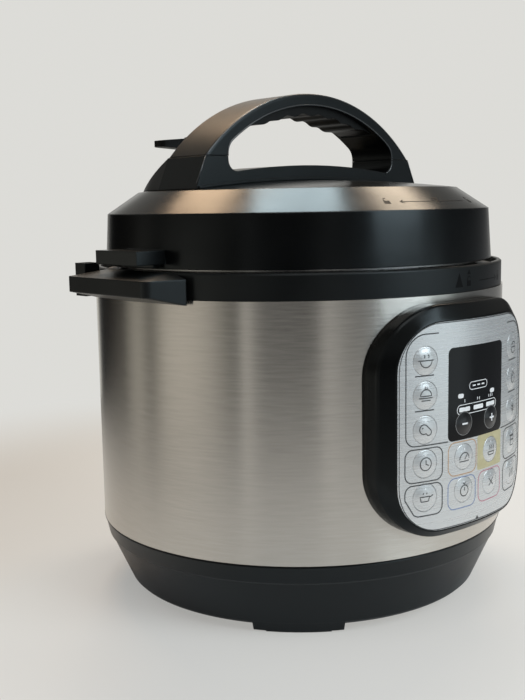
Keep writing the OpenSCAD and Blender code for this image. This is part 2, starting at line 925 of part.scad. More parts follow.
module inlet_pin_blades(grow) {
    for (p = [[-7, -2], [0, 2], [7, -2]])
        translate([p[0] - 1 - grow, inlet_y - inlet_depth - 6, inlet_z + inlet_h / 2 + p[1] - 2 - grow])
            cube([2 + 2 * grow, inlet_depth, 4 + 2 * grow]);
}

module inlet_pins() {
    color("gold")
        inlet_pin_blades(0);
}

module wiring() {
    wire_r = 1.2;
    inlet_back_y = inlet_y - inlet_depth - 6;
    board_edge_y = power_y + power_l / 2;
    wire_z = board_z + board_t + 1.5;
    color("firebrick")
        for (x = [-7, 0, 7]) {
            wire_run([x, inlet_back_y - skin, inlet_z + inlet_h / 2], [x, board_edge_y + 12, wire_z], wire_r);
            translate([x, board_edge_y + 12, wire_z])
                sphere(r = wire_r + 0.3, $fn = 24);
            wire_run([x, board_edge_y + 12, wire_z], [x, board_edge_y - 6, wire_z], wire_r);
        }
    front_y = -(well_r + well_wall + 2);
    ribbon_x = 12;
    ribbon_w = 10;
    color("white") {
        translate([ribbon_x, power_y - power_l / 2 + 2, wire_z - 0.5])
            rotate([90, 0, 0])
                linear_extrude(-front_y - power_l / 2 + power_y + 3)
                    square([ribbon_w, 1]);
        translate([ribbon_x, front_y - 1, wire_z - 0.5])
            cube([ribbon_w, 1, overlay_mid_z - control_h / 2 - wire_z + 12]);
    }
}

module collector_cup() {
    outer_y = cup_y + cup_depth;
    color("gainsboro")
        difference() {
            union() {
                intersection() {
                    translate([-cup_half_w, 0, cup_top_z - cup_h])
                        cube([2 * cup_half_w, outer_y, cup_h]);
                    cylinder(r = outer_y, h = 300);
                }
                translate([-cup_half_w - ear_w, cup_y + 1, cup_top_z - ear_t])
                    cube([2 * (cup_half_w + ear_w), rail_l, ear_t]);
            }
            intersection() {
                translate([-cup_half_w + cup_wall, 0, cup_top_z - cup_h + cup_wall])
                    cube([2 * (cup_half_w - cup_wall), outer_y, cup_h + 5]);
                difference() {
                    cylinder(r = outer_y - cup_wall, h = 300);
                    cylinder(r = cup_y + cup_wall, h = 400, center = true);
                }
            }
            cylinder(r = cup_y, h = 300);
        }
}

// ---------- pot and lid ----------

module inner_pot() {
    in_r = pot_r - pot_wall;
    in_c = pot_corner_r - pot_wall;
    color("silver")
        rotate_extrude()
            polygon(concat(
                [[0, pot_z]],
                arc(pot_r - pot_corner_r, pot_z + pot_corner_r, pot_corner_r, -90, 0, 8),
                [[pot_r, rim_z - rim_t], [rim_r, rim_z - rim_t], [rim_r, rim_z], [in_r, rim_z]],
                arc(in_r - in_c, pot_z + pot_corner_r, in_c, 0, -90, 8),
                [[0, pot_z + pot_wall]]));
}

seal_out_r = lid_skirt_r - 1.8 - 0.4;
seal_in_r = pot_r - 3;
seal_z = rim_z + skin;

module sealing_ring() {
    color("whitesmoke")
        rotate_extrude()
            polygon([
                [seal_in_r, seal_z],
                [seal_out_r, seal_z],
                [seal_out_r, seal_z + 8],
                [seal_in_r + 2, seal_z + 8],
                [seal_in_r + 2, seal_z + 6.5],
                [seal_in_r + 3.5, seal_z + 6.5],
                [seal_in_r + 3.5, seal_z + 1.5],
                [seal_in_r, seal_z + 1.5]]);
}

module seal_rack() {
    rack_z = seal_z + 9.5;
    color("silver") {
        rotate_extrude()
            translate([seal_in_r + 1, rack_z])
                circle(r = 1, $fn = 24);
        for (a = [0 : 60 : 300])
            rotate([0, 0, a])
                translate([seal_in_r + 1, 0, rack_z])
                    cylinder(r = 0.9, h = plate_z - rack_z - skin, $fn = 24);
    }
}

module lid_plate() {
    skirt_in_r = lid_skirt_r - 1.8;
    color("silver")
        difference() {
            union() {
                ring(skirt_in_r, lid_skirt_r, rim_z + 2, plate_z + eps);
                translate([0, 0, plate_z])
                    cylinder(r = lid_in_r - 0.5, h = plate_t);
                for (i = [0 : lug_count - 1])
                    ring_part(lid_skirt_r - 0.5, lid_lug_r, lid_lug_z, lid_lug_z + lug_h,
                              -90 + i * 360 / lug_count, lug_angle);
                for (d = [lock_post_in, lock_post_out])
                    rotate([0, 0, lock_a])
                        translate([d - lock_post_w / 2, -5, plate_z + plate_t - eps])
                            cube([lock_post_w, 10, 12]);
            }
            translate([-valve_x, valve_y, plate_z - 1])
                cylinder(r = pipe_r + skin, h = 5);
            translate([float_x, valve_y, plate_z - 1])
                cylinder(r = float_r + run_fit, h = 5);
            rotate([0, 0, lock_a])
                translate([lock_post_in - 12, 0, lock_z])
                    rotate([0, 90, 0])
                        cylinder(r = lock_r + run_fit, h = 50);
            for (a = lid_screw_angles)
                rotate([0, 0, a])
                    translate([lid_screw_r, 0, plate_z - 1])
                        cylinder(r = screw_r + skin, h = 5);
        }
}

module lid_profile(inset) {
    edge_r = dome_r - inset * 0.6;
    centre_z = lid_top_z - inset - dome_sphere_r;
    polygon(concat(
        [[0, lid_z - inset],
         [lid_r - inset, lid_z - inset],
         [lid_r - inset, lid_z],
         [lid_top_r - inset, lid_side_z - inset * 0.6]],
        arc(0, centre_z, dome_sphere_r, acos(edge_r / dome_sphere_r), 90, 10)));
}

module lid_fin() {
    translate([lid_in_r + 1, -fin_half_w, fin_z])
        cube([fin_reach + lid_r - lid_in_r - 1, 2 * fin_half_w, fin_t]);
    translate([lid_in_r + 1, -fin_half_w + 4, lid_z + 0.8])
        cube([5, 2 * fin_half_w - 8, fin_z - lid_z]);
}

module lid_cover() {
    color("dimgray")
        difference() {
            union() {
                difference() {
                    rotate_extrude()
                        lid_profile(0);
                    rotate_extrude()
                        lid_profile(cover_wall);
                }
                lid_fin();
                mirror([1, 0, 0])
                    lid_fin();
                for (a = lid_screw_angles)
                    rotate([0, 0, a])
                        translate([lid_screw_r, 0, plate_z + plate_t + skin])
                            cylinder(r = 5, h = dome_z - plate_z - plate_t);
            }
            translate([-valve_x, valve_y, lid_z])
                cylinder(r = pipe_r + 1.5, h = 100);
            translate([float_x, valve_y, lid_z])
                cylinder(r = float_r + 1.5, h = 100);
            for (a = lid_screw_angles)
                rotate([0, 0, a])
                    translate([lid_screw_r, 0, plate_z])
                        cylinder(r = screw_r + skin, h = 14);
            for (x = [-1, 1])
                translate([x * handle_screw_x, 0, dome_z - 20])
                    cylinder(r = screw_r + skin, h = 60);
        }
}

module lid_screws() {
    color("gray") {
        for (a = lid_screw_angles)
            rotate([0, 0, a])
                translate([lid_screw_r, 0, plate_z - screw_head_h - skin]) {
                    cylinder(r = screw_head_r, h = screw_head_h);
                    cylinder(r = screw_r, h = 14);
                }
        for (x = [-1, 1])
            translate([x * handle_screw_x, 0, handle_screw_z]) {
                cylinder(r = screw_head_r, h = screw_head_h - 0.2);
                cylinder(r = screw_r, h = 16);
            }
    }
}

// ---------- lid handle ----------

// Front view of the handle's opening
module handle_opening() {
    side_z = arch_z + sqrt(pow(opening_r - opening_corner_r, 2)
                           - pow(opening_x - opening_corner_r, 2));
    corner_a = atan2(side_z - arch_z, opening_x - opening_corner_r);
    foot_cx = opening_x - opening_foot_r;
    foot_cz = bar_top_z - bar_r + sqrt(pow(bar_r + opening_foot_r, 2) - foot_cx * foot_cx);
    foot_a = atan2(foot_cz - bar_top_z + bar_r, foot_cx);
    polygon(concat(
        arc(0, arch_z, opening_r, corner_a, 180 - corner_a, 28),
        arc(-opening_x + opening_corner_r, side_z, opening_corner_r, 180 - corner_a, 180, 6),
        arc(-foot_cx, foot_cz, opening_foot_r, 180, 360 - foot_a, 6),
        arc(0, bar_top_z - bar_r, bar_r, 180 - foot_a, foot_a, 12),
        arc(foot_cx, foot_cz, opening_foot_r, 180 + foot_a, 360, 6),
        arc(opening_x - opening_corner_r, side_z, opening_corner_r, 0, corner_a, 6)));
}

// Extrudes a front view along Y, centred on the handle's centre line
module across(w) {
    translate([0, w / 2, 0])
        rotate([90, 0, 0])
            linear_extrude(w)
                children();
}

// The whole handle's outer form, before its opening is cut
module handle_body() {
    slope = leg_lean / seam_h;
    top_z = arch_top_z + 5;
    bottom_x = foot_x + 3 * slope;
    intersection() {
        translate([0, 0, arch_z])
            rotate([90, 0, 0])
                rotate_extrude($fn = 240)
                    polygon(concat(
                        [[0, -handle_w / 2]],
                        arc(arch_r - arch_edge_r, -handle_w / 2 + arch_edge_r, arch_edge_r, -90, 0, 5),
                        arc(arch_r - arch_edge_r, handle_w / 2 - arch_edge_r, arch_edge_r, 0, 90, 5),
                        [[0, handle_w / 2]]));
        across(handle_w + 2)
            polygon([
                [-bottom_x, dome_z - 3],
                [bottom_x, dome_z - 3],
                [foot_x - slope * (top_z - dome_z), top_z],
                [-foot_x + slope * (top_z - dome_z), top_z]]);
        translate([0, 0, dome_z - 3])
            linear_extrude(top_z - dome_z + 3)
                rounded_rect(2 * bottom_x, handle_w, arch_edge_r);
    }
}

// Everything that lies inside the lid's outer surface
module lid_solid(gap) {
    translate([0, 0, gap]) {
        rotate_extrude()
            lid_profile(0);
        translate([0, 0, dome_z])
            cylinder(r = 12, h = dome_rise + 0.02);
    }
}

// Flared foot that shields the release valve, behind the left leg
module valve_shield() {
    slope = (seam_z - dome_z) / (shield_y - handle_w / 2);
    start_y = handle_w / 2 - arch_edge_r - 1;
    translate([-foot_x - 5, 0, 0])
        rotate([90, 0, 90])
            linear_extrude(foot_x + 5 - opening_x - 3)
                polygon([
                    [start_y, dome_z - 3],
                    [shield_y, dome_z - 3],
                    [shield_y, dome_z],
                    [start_y, dome_z + slope * (shield_y - start_y) - 0.3]]);
}

// Lip at the front and back of the handle's foot, where it meets the domed lid
module handle_lip() {
    intersection() {
        lid_solid(lip_h);
        translate([-foot_x + lip_h, -handle_w / 2 - lip_w, dome_z - 3])
            cube([2 * (foot_x - lip_h), handle_w + 2 * lip_w, 20]);
    }
}

// Outer form of the handle below the seam: its end faces lean in, and a cone rounds off the shield
module handle_legs() {
    slope = leg_lean / seam_h;
    bottom_x = foot_x + 3 * slope;
    cone_slope = (norm([foot_x, handle_w / 2]) - norm([foot_x - leg_lean, handle_w / 2])) / seam_h;
    cone_r = norm([foot_x, handle_w / 2]) + 3 * cone_slope;
    intersection() {
        union() {
            translate([0, 0, dome_z - 3])
                linear_extrude(seam_h + 10)
                    rounded_rect(2 * bottom_x, handle_w, arch_edge_r);
            valve_shield();
        }
        across(3 * shield_y)
            polygon([
                [-bottom_x, dome_z - 3.5],
                [bottom_x, dome_z - 3.5],
                [foot_x - leg_lean + slope * skin / 2, seam_z - skin / 2],
                [-foot_x + leg_lean - slope * skin / 2, seam_z - skin / 2]]);
        translate([0, 0, dome_z - 3])
            cylinder(r1 = cone_r, r2 = cone_r - cone_slope * (seam_h + 12), h = seam_h + 12);
    }
}

module handle_base() {
    color("dimgray")
        difference() {
            union() {
                handle_legs();
                handle_lip();
            }
            across(handle_w + 4)
                handle_opening();
            lid_solid(skin);
            for (x = [-1, 1])
                translate([x * handle_screw_x, 0, dome_z - 20])
                    cylinder(r = screw_r + 0.01, h = 34);
        }
}

module handle_cap() {
    color("dimgray")
        difference() {
            intersection() {
                handle_body();
                translate([-150, -150, seam_z + skin / 2])
                    cube([300, 300, 100]);
            }
            across(handle_w + 4)
                handle_opening();
            intersection() {
                across(2 * grip_half_w)
                    grip_outline(opening_r + grip_lift, opening_r - 20);
                translate([-grip_half_span, -50, seam_z + 5])
                    cube([2 * grip_half_span, 100, 100]);
            }
        }
}

// Band of the front view between two radii about the arch's centre
module grip_outline(r_out, r_in) {
    translate([0, arch_z])
        difference() {
            circle(r = r_out, $fn = 240);
            circle(r = r_in, $fn = 240);
        }
}

module handle_grip() {
    half_a = asin((grip_half_span - 0.3) / (opening_r + grip_lift));
    pitch_a = 2 * half_a / (groove_count + 1);
    inner_r = opening_r - grip_drop - groove_depth;
    steps = 16 * (groove_count + 1);
    color("black")
        across(2 * grip_half_w - 0.4)
            polygon(concat(
                arc(0, arch_z, opening_r + grip_lift - skin, 90 - half_a, 90 + half_a, 32),
                [for (i = [0 : steps])
                    let (t = i / steps,
                         a = 90 + half_a - 2 * half_a * t,
                         wave = groove_depth * (0.5 - 0.5 * cos(360 * t * (groove_count + 1))),
                         fade = min(1, 6 * min(t, 1 - t)),
                         r = opening_r - (opening_r - inner_r - wave) * fade)
                    [r * cos(a), arch_z + r * sin(a)]]));
}

// ---------- valves ----------

module release_pipe() {
    color("silver")
        translate([-valve_x, valve_y, 0])
            difference() {
                union() {
                    translate([0, 0, plate_z - 3])
                        cylinder(r = pipe_r, h = pipe_top_z - plate_z + 3);
                    translate([0, 0, plate_z - 3])
                        cylinder(r = pipe_r + 4, h = 3 - skin, $fn = 6);
                    translate([0, 0, plate_z + plate_t + skin])
                        cylinder(r = pipe_r + 4, h = 4);
                }
                translate([0, 0, plate_z - 5])
                    cylinder(r = pipe_r - 3, h = 200);
            }
}

module release_valve() {
    arm_a = 172;
    arm_half_w = 5;
    root_t = 7;
    shoulder_z = 5;
    top_z = knob_z + knob_h;
    bore_r = pipe_r + run_fit;
    bore_z = pipe_top_z + 0.3;
    color("dimgray")
        translate([-valve_x, valve_y, 0])
            union() {
                rotate_extrude()
                    polygon([
                        [0, bore_z],
                        [bore_r, bore_z],
                        [bore_r, knob_z],
                        [knob_r, knob_z],
                        [knob_r, top_z - shoulder_z],
                        [knob_r - 3, top_z - shoulder_z + 2],
                        [knob_r - 3, top_z],
                        [0, top_z]]);
                rotate([0, 0, arm_a])
                    intersection() {
                        translate([0, 0, top_z - 20])
                            linear_extrude(20)
                                polygon(concat(
                                    [[bore_r + 2, -arm_half_w]],
                                    arc(arm_len - arm_half_w, 0, arm_half_w, -90, 90, 12),
                                    [[bore_r + 2, arm_half_w]]));
                        across(2 * arm_half_w + 2)
                            polygon([
                                [bore_r, top_z - 0.5 - root_t],
                                [arm_len + 1, top_z - 2.5 - arm_t],
                                [arm_len + 1, top_z - 2.5],
                                [bore_r, top_z - 0.5]]);
                    }
            }
}

module anti_block_shield() {
    r = pipe_r + 8;
    top_z = plate_z - 3 - skin;
    color("silver")
        translate([-valve_x, valve_y, 0])
            difference() {
                translate([0, 0, top_z - 8])
                    cylinder(r = r, h = 8);
                translate([0, 0, top_z - 7])
                    cylinder(r = r - 1, h = 6);
                translate([0, 0, top_z - 2])
                    cylinder(r = pipe_r - 3, h = 5);
                for (a = [0 : 30 : 150])
                    rotate([0, 0, a])
                        translate([-r - 1, -1.2, top_z - 6])
                            cube([2 * r + 2, 2.4, 4]);
            }
}

module float_valve() {
    color("silver")
        translate([float_x, valve_y, 0]) {
            translate([0, 0, float_cap_z + 1])
                cylinder(r = float_r, h = float_top_z - float_cap_z - 1);
            translate([0, 0, float_cap_z + 5])
                cylinder(r = float_r + 1.5, h = 1);
        }
}

module float_cap() {
    color("whitesmoke")
        translate([float_x, valve_y, 0])
            difference() {
                translate([0, 0, float_cap_z - 1])
                    cylinder(r = float_cap_r, h = 5.9);
                translate([0, 0, float_cap_z + 0.9])
                    cylinder(r = float_r + 0.02, h = 6);
            }
}

module lock_pin() {
    color("silver")
        rotate([0, 0, lock_a])
            translate([0, 0, lock_z])
                rotate([0, 90, 0]) {
                    translate([0, 0, lock_post_in - 6])
                        cylinder(r = lock_r, h = lid_in_r - lock_post_in + 6 - lock_travel - 1);
                    translate([0, 0, lock_collar_x])
                        cylinder(r = lock_r + 1.6, h = lock_collar_t);
                }
}

module lock_spring() {
    color("silver")
        rotate([0, 0, lock_a])
            translate([lock_collar_x + lock_collar_t + skin, 0, lock_z])
                rotate([0, 90, 0])
                    coil_spring(4.2, 0.5, lock_spring_l - 2 * skin, 4);
}

// ---------- nodes ----------

steel_housing();
base_cover();
foot_pads();
upper_ring();
left_side_handle();
right_side_handle();
cooker_well();
spring_plate();
heater_plate();
heater_coil();
thermal_fuse();
sensor_bracket();
sensor_spring();
sensor_cap();
pressure_switch();
power_board();
power_components();
control_board();
display_module();
key_circuit();
panel_bezel();
panel_overlay();
display_window();
inlet_housing();
inlet_pins();
base_screws();
wiring();
key(0);  // key_left_1
key(1);  // key_left_2
key(2);  // key_left_3
key(3);  // key_left_4
key(4);  // key_left_5
key(5);  // key_right_1
key(6);  // key_right_2
key(7);  // key_right_3
key(8);  // key_right_4
key(9);  // key_right_5
key(10);  // key_mid_1
key(11);  // key_mid_2
key(12);  // key_mid_3
key(13);  // key_mid_4
key(14);  // key_minus
key(15);  // key_plus
collector_cup();
inner_pot();
sealing_ring();
seal_rack();
lid_plate();
lid_cover();
lid_screws();
handle_base();
handle_cap();
handle_grip();
release_pipe();
release_valve();
anti_block_shield();
float_valve();
float_cap();
lock_pin();
lock_spring();
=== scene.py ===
import json
import math

import bmesh
import bpy
from mathutils import Matrix, Vector


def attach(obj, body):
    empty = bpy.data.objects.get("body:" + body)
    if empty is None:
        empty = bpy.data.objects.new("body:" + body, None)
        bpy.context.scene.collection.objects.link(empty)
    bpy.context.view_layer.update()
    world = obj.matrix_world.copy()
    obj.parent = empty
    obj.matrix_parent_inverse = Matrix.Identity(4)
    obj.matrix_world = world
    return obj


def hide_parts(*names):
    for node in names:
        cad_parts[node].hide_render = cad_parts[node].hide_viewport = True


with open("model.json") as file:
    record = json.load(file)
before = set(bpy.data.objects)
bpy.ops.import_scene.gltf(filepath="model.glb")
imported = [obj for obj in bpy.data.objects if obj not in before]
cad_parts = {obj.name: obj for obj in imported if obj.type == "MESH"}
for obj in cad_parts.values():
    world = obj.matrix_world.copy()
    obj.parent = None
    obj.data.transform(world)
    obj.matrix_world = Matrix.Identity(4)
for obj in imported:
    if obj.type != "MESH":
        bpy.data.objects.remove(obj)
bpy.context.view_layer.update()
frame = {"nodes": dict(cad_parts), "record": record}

MM = 0.001

# ---------- dimensions shared with the solids, in mm ----------

PANEL_R = 129.0
KEY_DOME = 0.8
KEY_R, MID_KEY_R, STEP_KEY_R = 7.0, 6.5, 6.2
OUTER_A, MID_A = 16.0, 4.9
ROW_0, PITCH = 75.6, 16.83
KEY_FOOT_R = 126.0
WINDOW_HALF = 21.9
BODY_R, BASE_H = 116.8, 41.4
LID_TOP_R, LID_SIDE_Z = 108.6, 214.3
DOME_R, DOME_Z = 91.0, 226.0
RING_R, BEVEL_MID_R = 116.0, 102.0
HANDLE_HALF, SEAM_Z, ARCH_Z, ARCH_R = 16.0, 243.7, 171.151, 107.849
FOOT_X, LEG_LEAN, FOOT_EDGE_Z = 86.8, 7.0, 229.2
BEZEL_W, BEZEL_H, BEZEL_CORNER_R, BEZEL_Z, BEZEL_CREASE_R = 56.3, 115.5, 34.0, 110.95, 125.0
RIM_W, RIM_H, RIM_CORNER_R, RIM_Z, RIM_R = 50.5, 104.2, 24.2, 109.3, 128.8
OPEN_X, OPEN_R, OPEN_SIDE_Z, OPEN_CORNER_A, OPEN_FOOT_Z = 64.5, 101.149, 244.71, 52.96, 241.83
OPEN_CORNER_R, OPEN_FOOT_R = 9.0, 6.0

# ---------- camera ----------

PLAN_TURN = math.radians(43.97)
CAM_BACK, CAM_HEIGHT = 0.595394, 0.218400
CAM_YAW, CAM_PITCH, CAM_ROLL = -0.035869, 0.142627, -0.018087
FOCAL_PX, LONG_SIDE_PX, SENSOR = 1015.951, 700.0, 36.0


def to_object_frame(v):
    """From axes that face the camera to the cooker's own axes."""
    c, s = math.cos(PLAN_TURN), math.sin(PLAN_TURN)
    return Vector((v[0] * c + v[1] * s, -v[0] * s + v[1] * c, v[2]))


def make_camera():
    data = bpy.data.cameras.new("camera")
    data.sensor_fit = "AUTO"
    data.sensor_width = SENSOR
    data.lens = FOCAL_PX * SENSOR / LONG_SIDE_PX
    data.clip_start, data.clip_end = 0.01, 50
    cam = bpy.data.objects.new("camera", data)
    bpy.context.scene.collection.objects.link(cam)
    cy, sy = math.cos(CAM_YAW), math.sin(CAM_YAW)
    cp, sp = math.cos(CAM_PITCH), math.sin(CAM_PITCH)
    forward = Vector((sy * cp, cy * cp, -sp))
    right = Vector((cy, -sy, 0))
    up = right.cross(forward)
    cr, sr = math.cos(CAM_ROLL), math.sin(CAM_ROLL)
    across = to_object_frame(right * cr + up * sr)
    upward = to_object_frame(up * cr - right * sr)
    back = to_object_frame(-forward)
    turn = Matrix((across, upward, back)).transposed()
    cam.matrix_world = Matrix.Translation(to_object_frame((0, -CAM_BACK, CAM_HEIGHT))) @ turn.to_4x4()
    bpy.context.scene.camera = cam


make_camera()
bpy.context.scene.view_settings.view_transform = "Standard"

# ---------- materials ----------

# painted cool cast: reflections on the black plastics are tinted blue, as cool light would tint them
COOL_TINT = (0.86, 0.96, 1.0, 1)


class Surface:
    """A procedural material: tones, roughness and bump come from noise in object space."""

    def __init__(self, name, rough=0.5, metallic=0.0, **sockets):
        self.mat = bpy.data.materials.new(name)
        self.mat.use_nodes = True
        self.tree = self.mat.node_tree
        self.shader = self.tree.nodes["Principled BSDF"]
        self.shader.inputs["Roughness"].default_value = rough
        self.shader.inputs["Metallic"].default_value = metallic
        for key, value in sockets.items():
            self.shader.inputs[key.replace("_", " ")].default_value = value
        self.place = self.node("ShaderNodeTexCoord").outputs["Object"]
        self.normal = None

    def node(self, kind, **fields):
        made = self.tree.nodes.new(kind)
        for key, value in fields.items():
            setattr(made, key, value)
        return made

    def link(self, a, b):
        self.tree.links.new(a, b)

    def scaled(self, stretch):
        m = self.node("ShaderNodeMapping")
        m.inputs["Scale"].default_value = stretch
        self.link(self.place, m.inputs["Vector"])
        return m.outputs["Vector"]

    def noise(self, scale, detail=2.0, stretch=(1, 1, 1), rough=0.5):
        n = self.node("ShaderNodeTexNoise")
        n.inputs["Scale"].default_value = scale
        n.inputs["Detail"].default_value = detail
        n.inputs["Roughness"].default_value = rough
        self.link(self.scaled(stretch), n.inputs["Vector"])
        return n.outputs["Fac"]

    def spread(self, value, low, high, start=0.3, end=0.7):
        m = self.node("ShaderNodeMapRange")
        for key, v in (("From Min", start), ("From Max", end), ("To Min", low), ("To Max", high)):
            m.inputs[key].default_value = v
        self.link(value, m.inputs["Value"])
        return m.outputs["Result"]

    def between(self, factor, a, b):
        m = self.node("ShaderNodeMix", data_type="RGBA")
        self.link(factor, m.inputs["Factor"])
        for key, v in ((6, a), (7, b)):
            if isinstance(v, tuple):
                m.inputs[key].default_value = (*v, 1)
            else:
                self.link(v, m.inputs[key])
        return m.outputs[2]

    def math(self, kind, a, b=None):
        m = self.node("ShaderNodeMath", operation=kind)
        for key, v in ((0, a), (1, b)):
            if isinstance(v, (int, float)):
                m.inputs[key].default_value = v
            elif v is not None:
                self.link(v, m.inputs[key])
        return m.outputs["Value"]

    def colour(self, out):
        self.link(out, self.shader.inputs["Base Color"])
        return self

    def tones(self, a, b, scale=30, stretch=(1, 1, 1), detail=3.0):
        return self.colour(self.between(self.spread(self.noise(scale, detail, stretch), 0, 1), a, b))

    def roughness(self, low, high, scale=60, stretch=(1, 1, 1), detail=3.0):
        self.link(self.spread(self.noise(scale, detail, stretch), low, high), self.shader.inputs["Roughness"])
        return self

    def soft_edges(self, radius):
        """Edges shade as if they were rounded to this radius, in mm."""
        b = self.node("ShaderNodeBevel", samples=4)
        b.inputs["Radius"].default_value = radius * MM
        self.normal = b.outputs["Normal"]
        self.link(self.normal, self.shader.inputs["Normal"])
        return self

    def bump(self, height, distance, strength=0.5):
        b = self.node("ShaderNodeBump")
        b.inputs["Strength"].default_value = strength
        b.inputs["Distance"].default_value = distance * MM
        self.link(height, b.inputs["Height"])
        if self.normal is not None:
            self.link(self.normal, b.inputs["Normal"])
        self.normal = b.outputs["Normal"]
        self.link(self.normal, self.shader.inputs["Normal"])
        return self

    def grain(self, scale, distance, strength=0.5, stretch=(1, 1, 1), detail=2.0):
        return self.bump(self.noise(scale, detail, stretch), distance, strength)


def moulded(name, dark, light, low, high, grain=2600, depth=0.03, edge=0.5, **sockets):
    """Injection-moulded plastic with a fine eroded texture and faint handling marks."""
    s = Surface(name, **sockets).tones(dark, light, 14)
    s.roughness(low, high, 35, detail=5.0)
    if edge:
        s.soft_edges(edge)
    return s.grain(grain, depth, 0.6)


def brushed(name, dark, light, low, high, stretch, scale=14, depth=0.006, **sockets):
    """Metal with drawn brush lines along the short axes of stretch."""
    s = Surface(name, metallic=1.0, **sockets)
    lines = s.noise(scale, 6.0, stretch, 0.65)
    patches = s.noise(9, 3.0)
    mixed = s.math("ADD", s.math("MULTIPLY", lines, 0.75), s.math("MULTIPLY", patches, 0.25))
    s.colour(s.between(s.spread(mixed, 0, 1, 0.35, 0.65), dark, light))
    s.link(s.spread(mixed, low, high, 0.35, 0.65), s.shader.inputs["Roughness"])
    return s.bump(lines, depth, 0.35)


def steel_material():
    s = brushed("steel", (0.565, 0.545, 0.505), (0.645, 0.62, 0.58), 0.215, 0.245,
                (6, 6, 110), 10, 0.002, Anisotropic=0.95, Anisotropic_Rotation=0.25)
    t = s.node("ShaderNodeTangent", direction_type="RADIAL", axis="Z")
    s.link(t.outputs["Tangent"], s.shader.inputs["Tangent"])
    return s


def lid_material():
    s = Surface("black_gloss", Specular_IOR_Level=0.5, Specular_Tint=COOL_TINT)
    s.tones((0.0016, 0.0018, 0.0020), (0.0028, 0.0028, 0.0027), 12)
    s.roughness(0.17, 0.23, 40, detail=6.0)
    s.soft_edges(0.9)
    return s.grain(3200, 0.012, 0.5)


def overlay_material(name):
    s = Surface(name, metallic=0.55, rough=0.36)
    lines = s.noise(18, 5.0, (1, 1, 60), 0.6)
    flakes = s.noise(5200, 1.0)
    mixed = s.math("ADD", s.math("MULTIPLY", lines, 0.6), s.math("MULTIPLY", flakes, 0.4))
    s.colour(s.between(s.spread(mixed, 0, 1, 0.35, 0.65), (0.595, 0.61, 0.615), (0.68, 0.695, 0.70)))
    s.link(s.spread(lines, 0.24, 0.34, 0.35, 0.65), s.shader.inputs["Roughness"])
    return s.bump(lines, 0.002, 0.2)


def ink(name, a, b, rough=0.5, **sockets):
    s = Surface(name, rough=rough, **sockets).tones(a, b, 400)
    return s.roughness(rough - 0.05, rough + 0.05, 300)


def spotted(name, dark, light, spots, low, high, scale=900):
    """A board or module: even ground with small printed or placed marks."""
    s = Surface(name)
    v = s.node("ShaderNodeTexVoronoi", feature="F1")
    v.inputs["Scale"].default_value = scale
    s.link(s.place, v.inputs["Vector"])
    ground = s.between(s.spread(s.noise(40, 4.0), 0, 1), dark, light)
    s.colour(s.between(s.spread(v.outputs["Distance"], 1, 0, 0.12, 0.2), ground, spots))
    return s.roughness(low, high, 60)


